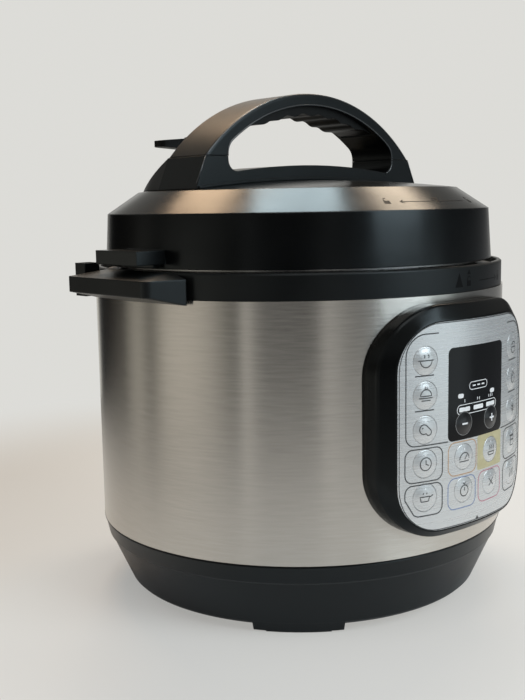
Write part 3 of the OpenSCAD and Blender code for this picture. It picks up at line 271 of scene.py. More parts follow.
MATS = {
    "steel": steel_material(),
    "black_gloss": lid_material(),
    "black_plastic": moulded("black_plastic", (0.0020, 0.0022, 0.0024), (0.0034, 0.0034, 0.0033), 0.3, 0.38,
                             edge=1.0, Specular_IOR_Level=0.40, Specular_Tint=COOL_TINT),
    "bezel_gloss": moulded("bezel_gloss", (0.0018, 0.0020, 0.0022), (0.0030, 0.0030, 0.0029), 0.20, 0.28,
                           2600, 0.015, 0, Specular_IOR_Level=0.26, Specular_Tint=COOL_TINT),
    "grip_plastic": moulded("grip_plastic", (0.0014, 0.0014, 0.0014), (0.0024, 0.0024, 0.0023), 0.38, 0.48,
                            1800, 0.05, Specular_IOR_Level=0.22),
    # painted highlight: far lighter than the other black plastics, so the beads on the handle's edges read as
    # highlights, besides the reflections their round shape catches
    "bead_highlight_plastic": moulded("bead_highlight_plastic", (0.028, 0.031, 0.033), (0.040, 0.043, 0.045), 0.16, 0.24, edge=0,
                            Specular_IOR_Level=0.8),
    "module_black": moulded("module_black", (0.012, 0.012, 0.012), (0.02, 0.02, 0.02), 0.5, 0.6),
    "rubber_pad": moulded("rubber_pad", (0.016, 0.016, 0.016), (0.028, 0.027, 0.026), 0.75, 0.88,
                          900, 0.08, 0.3),
    "white_plastic": moulded("white_plastic", (0.68, 0.67, 0.62), (0.76, 0.75, 0.71), 0.45, 0.55),
    "cup_plastic": moulded("cup_plastic", (0.62, 0.65, 0.66), (0.70, 0.72, 0.73), 0.16, 0.26, 1500, 0.01, 0.4,
                           Transmission_Weight=0.55, IOR=1.49),
    "silicone": moulded("silicone", (0.66, 0.66, 0.63), (0.74, 0.74, 0.71), 0.45, 0.6, 700, 0.05, 0.4,
                        Transmission_Weight=0.15),
    "pressed_steel": brushed("pressed_steel", (0.55, 0.55, 0.54), (0.72, 0.72, 0.71), 0.2, 0.32,
                             (1, 1, 40), 20),
    "screw_steel": brushed("screw_steel", (0.42, 0.42, 0.41), (0.58, 0.58, 0.56), 0.24, 0.38, (1, 1, 8), 120),
    "heater_cast": brushed("heater_cast", (0.5, 0.5, 0.5), (0.68, 0.68, 0.67), 0.4, 0.55,
                           (1, 1, 1), 260, 0.05),
    "brass": brushed("brass", (0.62, 0.44, 0.18), (0.8, 0.6, 0.28), 0.2, 0.34, (1, 8, 1), 160),
    "coil_metal": moulded("coil_metal", (0.16, 0.15, 0.14), (0.26, 0.24, 0.22), 0.55, 0.7, 500, 0.05, 0),
    "well_coating": moulded("well_coating", (0.09, 0.09, 0.09), (0.14, 0.14, 0.135), 0.35, 0.5,
                            1200, 0.04, 0.4),
    "overlay_film": overlay_material("overlay_film"),
    "key_film": overlay_material("key_film"),
    "key_black": moulded("key_black", (0.006, 0.006, 0.007), (0.010, 0.010, 0.011), 0.14, 0.22,
                         2400, 0.006, 0),
    "window_film": moulded("window_film", (0.003, 0.003, 0.003), (0.005, 0.005, 0.006), 0.08, 0.15,
                           2400, 0.004, 0.3, Specular_IOR_Level=0.22),
    "board": spotted("board", (0.02, 0.12, 0.05), (0.03, 0.17, 0.07), (0.62, 0.6, 0.5), 0.35, 0.5),
    "components": spotted("components", (0.03, 0.035, 0.06), (0.06, 0.065, 0.1), (0.3, 0.3, 0.32),
                          0.35, 0.5, 500),
    "flex_circuit": spotted("flex_circuit", (0.42, 0.24, 0.06), (0.55, 0.33, 0.1), (0.7, 0.6, 0.4),
                            0.3, 0.45, 700),
    "wire": moulded("wire", (0.42, 0.05, 0.04), (0.55, 0.08, 0.06), 0.35, 0.5, 900, 0.02, 0),
    "ink_dark": ink("ink_dark", (0.035, 0.037, 0.04), (0.06, 0.062, 0.065)),
    "ink_white": ink("ink_white", (0.78, 0.79, 0.8), (0.88, 0.89, 0.9), 0.4),
    "mark_gloss": ink("mark_gloss", (0.002, 0.0022, 0.0025), (0.004, 0.0042, 0.0045), 0.4,
                      Specular_IOR_Level=0.12),
    "ink_grey": ink("ink_grey", (0.2, 0.2, 0.2), (0.27, 0.27, 0.26), 0.55),
    "ink_orange": ink("ink_orange", (0.42, 0.25, 0.13), (0.5, 0.3, 0.17)),
    "ink_yellow": ink("ink_yellow", (0.47, 0.42, 0.24), (0.54, 0.49, 0.3), 0.42),
    "ink_blue": ink("ink_blue", (0.14, 0.2, 0.36), (0.2, 0.27, 0.45)),
    "ink_red": ink("ink_red", (0.42, 0.15, 0.2), (0.5, 0.2, 0.26)),
}

for entry in frame["record"]["subparts"]:
    piece = frame["nodes"][entry["node"]]
    wanted = MATS[entry["material_slot"]].mat
    if not piece.material_slots:
        piece.data.materials.append(wanted)
    for s in piece.material_slots:
        s.material = wanted

# ---------- thin prints that lie on the panel ----------


def panel_point(u, z, lift):
    """u is measured along the curved panel from its middle, z is the height, and lift is outwards."""
    a, r = u / PANEL_R, PANEL_R + lift
    return (r * math.sin(a) * MM, -r * math.cos(a) * MM, z * MM)


def dome_height(d, r):
    """Height of a key's dome at distance d from its centre."""
    t = min(1.0, d / r)
    return KEY_DOME * (1 - t * t) ** 2 * (1 + 1.1 * t * t)


KEYS = {}
for i in range(5):
    KEYS[f"key_left_{i + 1}"] = (-OUTER_A, 4 - i, KEY_R)
    KEYS[f"key_right_{i + 1}"] = (OUTER_A, 4 - i, KEY_R)
for name, a, row in (("key_mid_1", -MID_A, 1), ("key_mid_2", MID_A, 1),
                     ("key_mid_3", -MID_A, 0), ("key_mid_4", MID_A, 0)):
    KEYS[name] = (a, row, MID_KEY_R)
KEYS["key_minus"] = (-MID_A, 2, STEP_KEY_R)
KEYS["key_plus"] = (MID_A, 2, STEP_KEY_R)


def new_piece(name, verts, faces, mat, body, smooth=False):
    mesh = bpy.data.meshes.new(name)
    mesh.from_pydata([tuple(v) for v in verts], [], faces)
    mesh.validate()
    mesh.update()
    piece = bpy.data.objects.new(name, mesh)
    bpy.context.scene.collection.objects.link(piece)
    mesh.materials.append(MATS[mat].mat)
    bm = bmesh.new()
    bm.from_mesh(mesh)
    bmesh.ops.recalc_face_normals(bm, faces=bm.faces)
    bm.to_mesh(mesh)
    bm.free()
    if smooth:
        for p in mesh.polygons:
            p.use_smooth = True
    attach(piece, body)
    return piece


class Print:
    """Collects strokes and patches that share a colour and a body."""

    def __init__(self, place, thick=0.05, lift=0.02):
        self.place, self.thick, self.lift = place, thick, lift
        self.verts, self.faces = [], []

    def strip(self, left, right, closed):
        base, n = len(self.verts), len(left)
        for (lu, lz), (ru, rz) in zip(left, right):
            for u, z, t in ((lu, lz, 0), (ru, rz, 0), (ru, rz, self.thick), (lu, lz, self.thick)):
                self.verts.append(self.place(u, z, self.lift - 0.03 + t))
        for i in range(n if closed else n - 1):
            j = (i + 1) % n
            for k in range(4):
                m = (k + 1) % 4
                self.faces.append((base + 4 * i + k, base + 4 * i + m, base + 4 * j + m, base + 4 * j + k))
        if not closed:
            self.faces.append(tuple(base + k for k in (0, 1, 2, 3)))
            self.faces.append(tuple(base + 4 * (n - 1) + k for k in (3, 2, 1, 0)))

    def stroke(self, points, width, closed=False):
        points = refine(points, closed)
        n = len(points)
        left, right = [], []
        for i, (u, z) in enumerate(points):
            a = points[(i - 1) % n] if closed or i > 0 else points[i]
            b = points[(i + 1) % n] if closed or i < n - 1 else points[i]
            du, dz = b[0] - a[0], b[1] - a[1]
            d = math.hypot(du, dz) or 1.0
            nu, nz = -dz / d * width / 2, du / d * width / 2
            left.append((u + nu, z + nz))
            right.append((u - nu, z - nz))
        self.strip(left, right, closed)
        return self

    def disc(self, u, z, r, n=20):
        ring = [(u + r * math.cos(math.tau * i / n), z + r * math.sin(math.tau * i / n)) for i in range(n)]
        return self.fill(ring, (u, z))

    def fill(self, ring, centre):
        """A patch between a closed outline and its centre."""
        base, n = len(self.verts), len(ring)
        for t in (0, self.thick):
            self.verts.append(self.place(*centre, self.lift - 0.03 + t))
            self.verts += [self.place(u, z, self.lift - 0.03 + t) for u, z in ring]
        top = base + n + 1
        for i in range(n):
            j = (i + 1) % n
            self.faces.append((base, base + 1 + j, base + 1 + i))
            self.faces.append((top, top + 1 + i, top + 1 + j))
            self.faces.append((base + 1 + i, base + 1 + j, top + 1 + j, top + 1 + i))
        return self

    def make(self, name, mat, body, slot=None):
        piece = new_piece(name, self.verts, self.faces, mat, body)
        return piece


def refine(points, closed, step=1.5):
    """Adds points along straight runs, so a stroke follows the curved panel."""
    made = []
    n = len(points)
    for i in range(n if closed else n - 1):
        a, b = points[i], points[(i + 1) % n]
        k = max(1, math.ceil(math.hypot(b[0] - a[0], b[1] - a[1]) / step))
        made += [(a[0] + (b[0] - a[0]) * t / k, a[1] + (b[1] - a[1]) * t / k) for t in range(k)]
    return made if closed else made + [points[-1]]


def arc(cu, cz, r, a0, a1, n=8):
    step = math.radians(a1 - a0) / n
    return [(cu + r * math.cos(math.radians(a0) + step * i), cz + r * math.sin(math.radians(a0) + step * i))
            for i in range(n + 1)]


def along(x):
    """Distance along the panel of a point that lies x from its middle plane."""
    return PANEL_R * math.asin(x / PANEL_R)


def rounded_box(x0, x1, z0, z1, r, cut=0.0, cut_side=0):
    """Outline with round corners. cut slants a lower corner away."""
    u0, u1 = along(x0), along(x1)
    points = arc(u1 - r, z1 - r, r, 0, 90) + arc(u0 + r, z1 - r, r, 90, 180)
    if cut_side < 0:
        points += [(u0, z0 + cut), (u0 + cut * 0.55, z0 + 1.0), (u0 + cut * 0.8, z0)]
    else:
        points += arc(u0 + r, z0 + r, r, 180, 270)
    if cut_side > 0:
        points += [(u1 - cut * 0.8, z0), (u1 - cut * 0.55, z0 + 1.0), (u1, z0 + cut)]
    else:
        points += arc(u1 - r, z0 + r, r, 270, 360)
    return points


def panel_prints():
    dark = Print(panel_point)
    for s in (-1, 1):
        bracket = [(along(-28), 155.8)] + arc(along(-45.9) + 11, 144.8, 11, 90, 180)
        bracket += arc(along(-45.9) + 5, 106.6, 5, 180, 270) + [(along(-WINDOW_HALF), 101.5)]
        dark.stroke([(s * -u, z) for u, z in bracket][::-1] if s > 0 else bracket, 0.6)
        for z in (135.7, 118.7):
            dark.stroke([(s * along(41.2), z), (s * along(30.7), z)], 0.6)
    for x0, x1 in ((-46.3, -25.3), (25.3, 46.3)):
        dark.stroke(rounded_box(x0, x1, 83.6, 100.0, 4), 0.6, True)
        dark.stroke(rounded_box(x0, x1, 66.4, 82.2, 4, 9, -1 if x0 < 0 else 1), 0.6, True)
    edge = overlay_edge(49.2, 102.4, 23.0)
    dark.stroke(edge, 0.45, True)
    notch = Print(panel_point)
    notch.fill([(0.0, 60.0), (-1.5, 58.2), (1.5, 58.2)], (0.0, 58.8))
    dark.make("panel_lines", "ink_dark", "cooker", "window_film")
    notch.make("panel_notch", "ink_dark", "cooker", "window_film")
    for name, mat, box in (("outline_orange", "ink_orange", (-21.6, -1.4, 83.6, 100.4)),
                           ("outline_blue", "ink_blue", (-21.6, -1.8, 66.4, 82.2)),
                           ("outline_red", "ink_red", (0.6, 21.6, 66.4, 82.2))):
        Print(panel_point).stroke(rounded_box(*box, 4.2), 0.5, True).make(name, mat, "cooker")


def overlay_edge(half_w, h, r):
    """Outline just inside the overlay's edge."""
    u = along(half_w)
    points = []
    for cu, cz, a in ((u - r, RIM_Z + h / 2 - r, 0), (-u + r, RIM_Z + h / 2 - r, 90),
                      (-u + r, RIM_Z - h / 2 + r, 180), (u - r, RIM_Z - h / 2 + r, 270)):
        points += arc(cu, cz, r, a, a + 90, 10)
    return points


def yellow_field():
    """Printed field under one key, with an opening for the key."""
    u0, u1, z0, z1 = along(-0.4), along(WINDOW_HALF), 83.4, 101.2
    cu, cz = math.radians(MID_A) * PANEL_R, ROW_0 + PITCH
    r = MID_KEY_R + 0.2
    n = 72
    verts, faces = [], []
    for t in (-0.01, 0.035):
        for scale in (0, 0.5, 1):
            for i in range(n):
                a = math.tau * i / n
                c, s = math.cos(a), math.sin(a)
                reach = min((u1 - cu) / c if c > 1e-6 else 1e9, (u0 - cu) / c if c < -1e-6 else 1e9,
                            (z1 - cz) / s if s > 1e-6 else 1e9, (z0 - cz) / s if s < -1e-6 else 1e9)
                d = r + (reach - r) * scale
                verts.append(panel_point(cu + d * c, cz + d * s, t))
    for i in range(n):
        j = (i + 1) % n
        for k in (0, 1):
            a, b = k * n, (k + 1) * n
            faces.append((a + i, b + i, b + j, a + j))
            a, b = (k + 3) * n, (k + 4) * n
            faces.append((a + j, b + j, b + i, a + i))
        faces.append((j, i, 3 * n + i, 3 * n + j))
        faces.append((2 * n + i, 2 * n + j, 5 * n + j, 5 * n + i))
    new_piece("field_yellow", verts, faces, "ink_yellow", "cooker")


def window_prints():
    white = Print(panel_point)
    for u, z in ((-13.4, 123.3), (12.1, 122.9)):
        white.fill(rounded_box(u - 2.0, u + 2.0, z - 1.1, z + 1.1, 1.05), (along(u), z))
    for u in (-10.6, 0.0, 10.6):
        white.fill(rounded_box(u - 3.9, u + 3.9, 115.2, 117.4, 0.5), (along(u), 116.3))
    white.make("window_marks", "ink_white", "cooker")
    grey = Print(panel_point)
    grey.stroke(rounded_box(-15.9, 15.9, 113.9, 118.7, 2.35), 0.35, True)
    grey.stroke(rounded_box(-7.2, 7.2, 125.6, 129.4, 1.85), 0.35, True)
    for x in (-3.6, 0.0, 3.6):
        grey.stroke([(x - 1.1, 127.5), (x + 1.1, 127.5)], 0.7)
    for x, n in ((-10.6, 1), (0.0, 2), (10.6, 3)):
        for k in range(n):
            u = x + (k - (n - 1) / 2) * 1.6
            grey.stroke([(u, 119.9), (u, 121.3)], 0.45)
    grey.make("window_outlines", "ink_white", "cooker")


# ---------- marks on the lid and ring ----------


def ring_point(u, z, lift):
    """u is measured along the upper ring from the middle of the panel."""
    a, r = u / RING_R, RING_R + lift
    return (r * math.sin(a) * MM, -r * math.cos(a) * MM, z * MM)


def bevel_point(u, w, lift):
    """u is measured along the lid's bevel from the middle of the panel, and w up its slope."""
    slope = math.atan2(DOME_Z - LID_SIDE_Z, LID_TOP_R - DOME_R)
    r = LID_TOP_R - w * math.cos(slope) + lift * math.sin(slope)
    a = u / BEVEL_MID_R
    return (r * math.sin(a) * MM, -r * math.cos(a) * MM,
            (LID_SIDE_Z + w * math.sin(slope) + lift * math.cos(slope)) * MM)


def triangle(u, z, w, h):
    return [(u - w / 2, z), (u + w / 2, z), (u, z + h)]


def padlock(mark, u, z, shackle_turn):
    mark.fill([(u - 1.7, z), (u + 1.7, z), (u + 1.7, z + 2.8), (u - 1.7, z + 2.8)], (u, z + 1.4))
    mark.stroke([(u - 1.1, z + 2.8)] + arc(u, z + 3.9, 1.1, 180, shackle_turn), 0.5)


def lid_and_ring_marks():
    ring = Print(ring_point, 0.04)
    ring.fill(triangle(0.8, 175.2, 6.2, 7.2), (0.8, 177.4))
    padlock(ring, 9.2, 175.4, 0)
    ring.fill(triangle(9.2, 181.4, 3.2, 2.4), (9.2, 182.1))
    ring.stroke([(20, 177.6), (44, 177.6)], 0.45)
    ring.stroke([(42, 176.4), (44.4, 177.6), (42, 178.8)], 0.45)
    padlock(ring, 49.5, 175.7, 60)
    ring.make("ring_marks", "mark_gloss", "cooker")
    lid = Print(bevel_point, 0.04)
    lid.stroke([(-25, 7.4), (25, 7.4)], 0.5)
    lid.stroke([(-23, 6.0), (-25.4, 7.4), (-23, 8.8)], 0.5)
    lid.fill(triangle(0, 10.6, 4.6, -5.2), (0, 9.0))
    padlock(lid, -33, 5.6, 60)
    padlock(lid, 33, 5.6, 0)
    lid.make("lid_marks", "mark_gloss", "lid")


# ---------- keys ----------


def key_place(name):
    a, row, r = KEYS[name]
    cu, cz = math.radians(a) * PANEL_R, ROW_0 + row * PITCH

    def place(u, z, lift):
        return panel_point(cu + u, cz + z, lift + dome_height(math.hypot(u, z), r))

    return place


def key_piece(name):
    """A shallow dome of film with a short skirt, which replaces the plain button."""
    a, row, r = KEYS[name]
    cu, cz = math.radians(a) * PANEL_R, ROW_0 + row * PITCH
    rings, n = 14, 48
    verts, faces = [panel_point(cu, cz, KEY_DOME)], []
    for k in range(1, rings + 1):
        d = r * k / rings
        for i in range(n):
            t = math.tau * i / n
            verts.append(panel_point(cu + d * math.cos(t), cz + d * math.sin(t), dome_height(d, r)))
    for i in range(n):
        t = math.tau * i / n
        verts.append(panel_point(cu + r * math.cos(t), cz + r * math.sin(t), KEY_FOOT_R - PANEL_R))
    verts.append(panel_point(cu, cz, KEY_FOOT_R - PANEL_R))
    for i in range(n):
        j = (i + 1) % n
        faces.append((0, 1 + i, 1 + j))
        for k in range(rings):
            a0, b0 = 1 + k * n, 1 + (k + 1) * n
            faces.append((a0 + i, b0 + i, b0 + j, a0 + j))
        faces.append((len(verts) - 1, 1 + rings * n + j, 1 + rings * n + i))
    black = name in ("key_minus", "key_plus")
    piece = new_piece(name + "_dome", verts, faces, "key_black" if black else "key_film", name, True)
    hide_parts(name)


def circle(u, z, r, n=20):
    return arc(u, z, r, 0, 360 - 360 / n, n - 1)


# Each symbol is a list of (points, closed) in mm about the key's centre.
SYMBOLS = {
    "key_left_1": [(arc(0, 0.2, 3.4, 180, 360), True), ([(-4.4, 0.2), (4.4, 0.2)], False),
                   ([(-1.2, 1.4), (-0.8, 2.2), (-1.4, 3.0)], False),
                   ([(1.2, 1.4), (1.6, 2.2), (1.0, 3.0)], False)],
    "key_left_2": [(arc(0, -0.2, 3.2, 0, 180), True), ([(-3.8, -1.2), (3.8, -1.2)], False),
                   (circle(0, 3.6, 0.6, 10), True), ([(-2.6, -2.4), (2.6, -2.4)], False)],
    "key_left_3": [(arc(-1.2, 0.4, 2.4, 60, 300) + arc(1.6, -1.2, 1.6, 240, 420), True),
                   ([(-2.4, 0.8), (-1.6, 1.2)], False)],
    "key_left_4": [(circle(0, 0, 3.2), True), ([(0, 2.0), (0, 0), (1.6, -0.8)], False)],
    "key_left_5": [([(-3.2, 0.6), (-2.6, -1.8), (1.6, -1.8), (2.2, 0.6)], True),
                   ([(2.2, 0.2), (4.6, 1.0)], False),
                   ([(-1.6, 1.8), (-1.2, 2.6)], False), ([(0.4, 1.8), (0.8, 2.6)], False)],
    "key_right_1": [(arc(0, -0.6, 3.2, 180, 360), True), (arc(0, -0.4, 2.6, 20, 160), False),
                    ([(-1.0, 0.6), (-0.6, 1.2)], False), ([(0.8, 0.4), (1.2, 1.0)], False)],
    "key_right_2": [(arc(0, -0.4, 2.4, 180, 360) + [(1.7, 1.6), (0, 3.2), (-1.7, 1.6)], True),
                    ([(-0.9, 0.6), (-0.4, 1.4)], False)],
    "key_right_3": [([(0, -3.4), (0, 3.0)], False), ([(-1.8, 2.4), (0, 0.8), (1.8, 2.4)], False),
                    ([(-1.8, 0.6), (0, -1.0), (1.8, 0.6)], False)],
    "key_right_4": [([(-2.2, 2.4), (-2.2, -2.6), (2.2, -2.6), (2.2, 2.4)], True),
                    ([(-2.8, 2.8), (2.8, 2.8)], False),
                    ([(-2.2, 0.4), (2.2, 0.4)], False)],
    "key_right_5": [([(-2.2, -2.8), (-2.8, -1.4), (-1.6, 0), (-2.4, 1.6)], False),
                    ([(0, -2.8), (-0.6, -1.4), (0.6, 0), (-0.2, 1.6)], False),
                    ([(2.2, -2.8), (1.6, -1.4), (2.8, 0), (2.0, 1.6)], False)],
    "key_mid_1": [(arc(0, -1.2, 3.4, 0, 180), False), ([(0, -1.2), (1.6, 1.0)], False),
                  ([(-3.4, -2.2), (3.4, -2.2)], False)],
    "key_mid_2": [([(-3.0, -1.0), (3.0, -1.0), (2.4, -2.6), (-2.4, -2.6)], True),
                  ([(-1.6, 0.2), (-1.2, 1.2), (-1.8, 2.2)], False),
                  ([(0.2, 0.2), (0.6, 1.2), (0, 2.2)], False),
                  ([(2.0, 0.2), (2.4, 1.2), (1.8, 2.2)], False)],
    "key_mid_3": [(circle(0, -0.4, 2.8), True), ([(0, 2.4), (0, 3.4)], False), ([(0, -0.4), (0, 1.4)], False),
                  ([(-1.0, 3.4), (1.0, 3.4)], False)],
    "key_mid_4": [([(-1.9, -1.9), (1.9, 1.9)], False), ([(-1.9, 1.9), (1.9, -1.9)], False)],
    "key_minus": [([(-1.9, 0), (1.9, 0)], False)],
    "key_plus": [([(-2.0, 0), (2.0, 0)], False), ([(0, -2.0), (0, 2.0)], False)],
}


def key_symbols(name):
    white = name in ("key_minus", "key_plus")
    p = Print(key_place(name))
    for points, closed in SYMBOLS[name]:
        p.stroke(points, 0.85 if white else 0.55, closed)
    p.make(name + "_symbol", "ink_white" if white else "ink_dark", name)
    if white:
        edge = Print(key_place(name))
        edge.stroke(circle(0, 0, KEYS[name][2] - 0.35, 40), 0.22, True)
        edge.make(name + "_ring", "ink_grey", name)
    else:
        Print(key_place(name)).disc(0, KEYS[name][2] * 0.62, 0.42, 14).make(name + "_lamp", "ink_white", name)


def round_outline(half_w, h, r, mid, grow=0.0):
    """Outline in x and z with round corners, with the same number of points whatever its size."""
    half_w, half_h, r = half_w + grow, h / 2 + grow, r + grow
    points = []
    for cx, cz, a in ((half_w - r, half_h - r, 0), (r - half_w, half_h - r, 90),
                      (r - half_w, r - half_h, 180), (half_w - r, r - half_h, 270)):
        points += arc(cx, mid + cz, r, a, a + 90, 20)
    closed = points + points[:1]
    even = []
    for (ax, az), (bx, bz) in zip(closed, closed[1:]):
        k = 16 if math.hypot(bx - ax, bz - az) > 8 else 1
        even += [(ax + (bx - ax) * t / k, az + (bz - az) * t / k) for t in range(k)]
    return even


def bezel_profile():
    """Section of the bezel's skin, as inward distance and radius.

    A round crease lies between its wall and its slope.
    """
    proud, fillet, width = 0.35, 2.4, BEZEL_W - RIM_W
    turn = math.atan2(RIM_R - BEZEL_CREASE_R, width)
    rise = BEZEL_CREASE_R + proud / math.cos(turn)
    cx = fillet - proud
    cr = rise + cx * math.tan(turn) - fillet / math.cos(turn)
    top = 90 + math.degrees(turn)
    section = [(-proud, BODY_R + 0.15), (-proud, BODY_R + 3.0)]
    section += arc(cx, cr, fillet, 180, top, 8)
    section += [(x, rise + x * math.tan(turn)) for x in (2.2, 3.8, 5.2)]
    section += [(5.8, RIM_R + 0.36), (6.05, RIM_R + 0.30), (6.15, RIM_R + 0.1), (6.15, RIM_R - 0.3)]
    return section + [(5.0, RIM_R - 1.6), (1.4, BEZEL_CREASE_R - 1.6), (0.9, BODY_R + 0.15)]


def bezel_skin():
    """Smooth skin over the bezel's wall and sloping border."""
    width = BEZEL_W - RIM_W
    inner = round_outline(RIM_W, RIM_H, RIM_CORNER_R, RIM_Z)
    verts, faces = [], []
    for x, r in bezel_profile():
        outer = round_outline(BEZEL_W, BEZEL_H, BEZEL_CORNER_R, BEZEL_Z, max(0.0, -x))
        share = max(0.0, x) / width
        for (ax, az), (bx, bz) in zip(outer, inner):
            px, pz = ax + (bx - ax) * share, az + (bz - az) * share
            verts.append((px * MM, -math.sqrt(r * r - px * px) * MM, pz * MM))
    n, m = len(inner), len(verts) // len(inner)
    for k in range(m):
        for i in range(n):
            j = (i + 1) % n
            a, b = k * n, (k + 1) % m * n
            faces.append((a + i, a + j, b + j, b + i))
    piece = new_piece("bezel_skin", verts, faces, "bezel_gloss", "cooker", True)


def base_shadow_band():
    """Dark band painted as the shadow in the gap between the steel housing and the base cover."""
    n, half = 192, 0.22
    verts, faces = [], []
    for r, z in ((BODY_R - 0.1, -half), (BODY_R + 0.06, -half), (BODY_R + 0.06, half), (BODY_R - 0.1, half)):
        verts += [(r * math.cos(math.tau * i / n) * MM, r * math.sin(math.tau * i / n) * MM,
                   (BASE_H + half + z) * MM) for i in range(n)]
    for k in range(4):
        for i in range(n):
            j = (i + 1) % n
            a, b = k * n, (k + 1) % 4 * n
            faces.append((a + i, a + j, b + j, b + i))
    new_piece("base_shadow_band", verts, faces, "mark_gloss", "cooker")


def tube(name, path, centres, r, mat, body, sides=10):
    """A round bead along a path in the handle's plane.

    centres gives, for each point of the path, how far outwards the bead lies and its y.
    """
    verts, faces = [], []
    for i, ((x, z), (out, y)) in enumerate(zip(path, centres)):
        a, b = path[max(0, i - 1)], path[min(len(path) - 1, i + 1)]
        d = math.hypot(b[0] - a[0], b[1] - a[1])
        nx, nz = -(b[1] - a[1]) / d, (b[0] - a[0]) / d
        for k in range(sides):
            t = math.tau * k / sides
            reach = out + r * math.cos(t)
            verts.append(((x + nx * reach) * MM, (y + r * math.sin(t)) * MM, (z + nz * reach) * MM))
    m = len(path)
    for i in range(m - 1):
        for k in range(sides):
            j = (k + 1) % sides
            faces.append((i * sides + k, i * sides + j, (i + 1) * sides + j, (i + 1) * sides + k))
    faces.append(tuple(range(sides)))
    faces.append(tuple((m - 1) * sides + k for k in reversed(range(sides))))
    new_piece(name, verts, faces, mat, body, True)


def handle_bead():
    """Raised edge round the front of the handle's opening, from the left seam to the lower right corner, in a
    lighter plastic that paints a highlight along it, besides the reflections its round shape catches.
    """
    path = [(-OPEN_X, SEAM_Z + 0.1)]
    path += [(-x, z) for x, z in arc(OPEN_X - OPEN_CORNER_R, OPEN_SIDE_Z, OPEN_CORNER_R, 0, OPEN_CORNER_A, 8)]
    path += arc(0, ARCH_Z, OPEN_R, 180 - OPEN_CORNER_A, OPEN_CORNER_A, 60)
    path += arc(OPEN_X - OPEN_CORNER_R, OPEN_SIDE_Z, OPEN_CORNER_R, OPEN_CORNER_A, 0, 8)
    path += arc(OPEN_X - OPEN_FOOT_R, OPEN_FOOT_Z, OPEN_FOOT_R, 0, -80, 8)
    tube("handle_bead", path, [(0.45, -HANDLE_HALF - 0.05)] * len(path), 0.5, "bead_highlight_plastic", "lid")


def handle_edges():
    """Raised bead where the handle's front meets its outer side, in a lighter plastic: a painted highlight
    along the rounded edge, besides the reflections its round shape catches.
    """
    seam_a = math.degrees(math.asin((SEAM_Z - ARCH_Z) / ARCH_R))
    arch = arc(0, ARCH_Z, ARCH_R, 180 - seam_a, seam_a, 72)
    tube("arch_edge", arch, [(-0.58, -HANDLE_HALF + 0.58)] * len(arch), 0.4, "bead_highlight_plastic", "lid")
    for side, name in ((-1, "left_leg_edge"), (1, "right_leg_edge")):
        leg = [(side * (FOOT_X - 0.4), FOOT_EDGE_Z), (side * (FOOT_X - LEG_LEAN), SEAM_Z - 0.3)]
        leg = leg if side < 0 else leg[::-1]
        tube(name, leg, [(-0.15, -HANDLE_HALF + 0.15)] * 2, 0.4, "bead_highlight_plastic", "lid")


panel_prints()
bezel_skin()
base_shadow_band()
handle_bead()
handle_edges()
yellow_field()
window_prints()
lid_and_ring_marks()
for name in KEYS:
    key_piece(name)
    key_symbols(name)

# ---------- stage and light ----------


def node_link(tree, a, b):
    tree.links.new(a, b)


def stop_ramp(tree, value, stops, kind="B_SPLINE"):
    """A colour ramp with the given stops, driven by a value."""
    ramp = tree.nodes.new("ShaderNodeValToRGB")
    ramp.color_ramp.interpolation = kind
    elements = ramp.color_ramp.elements
    while len(elements) < len(stops):
        elements.new(0.5)
    for e, (at, c) in zip(elements, stops):
        e.position = at
    for e, (at, c) in zip(elements, stops):
        e.color = (*c, 1)
    node_link(tree, value, ramp.inputs["Fac"])
    return ramp.outputs["Color"]


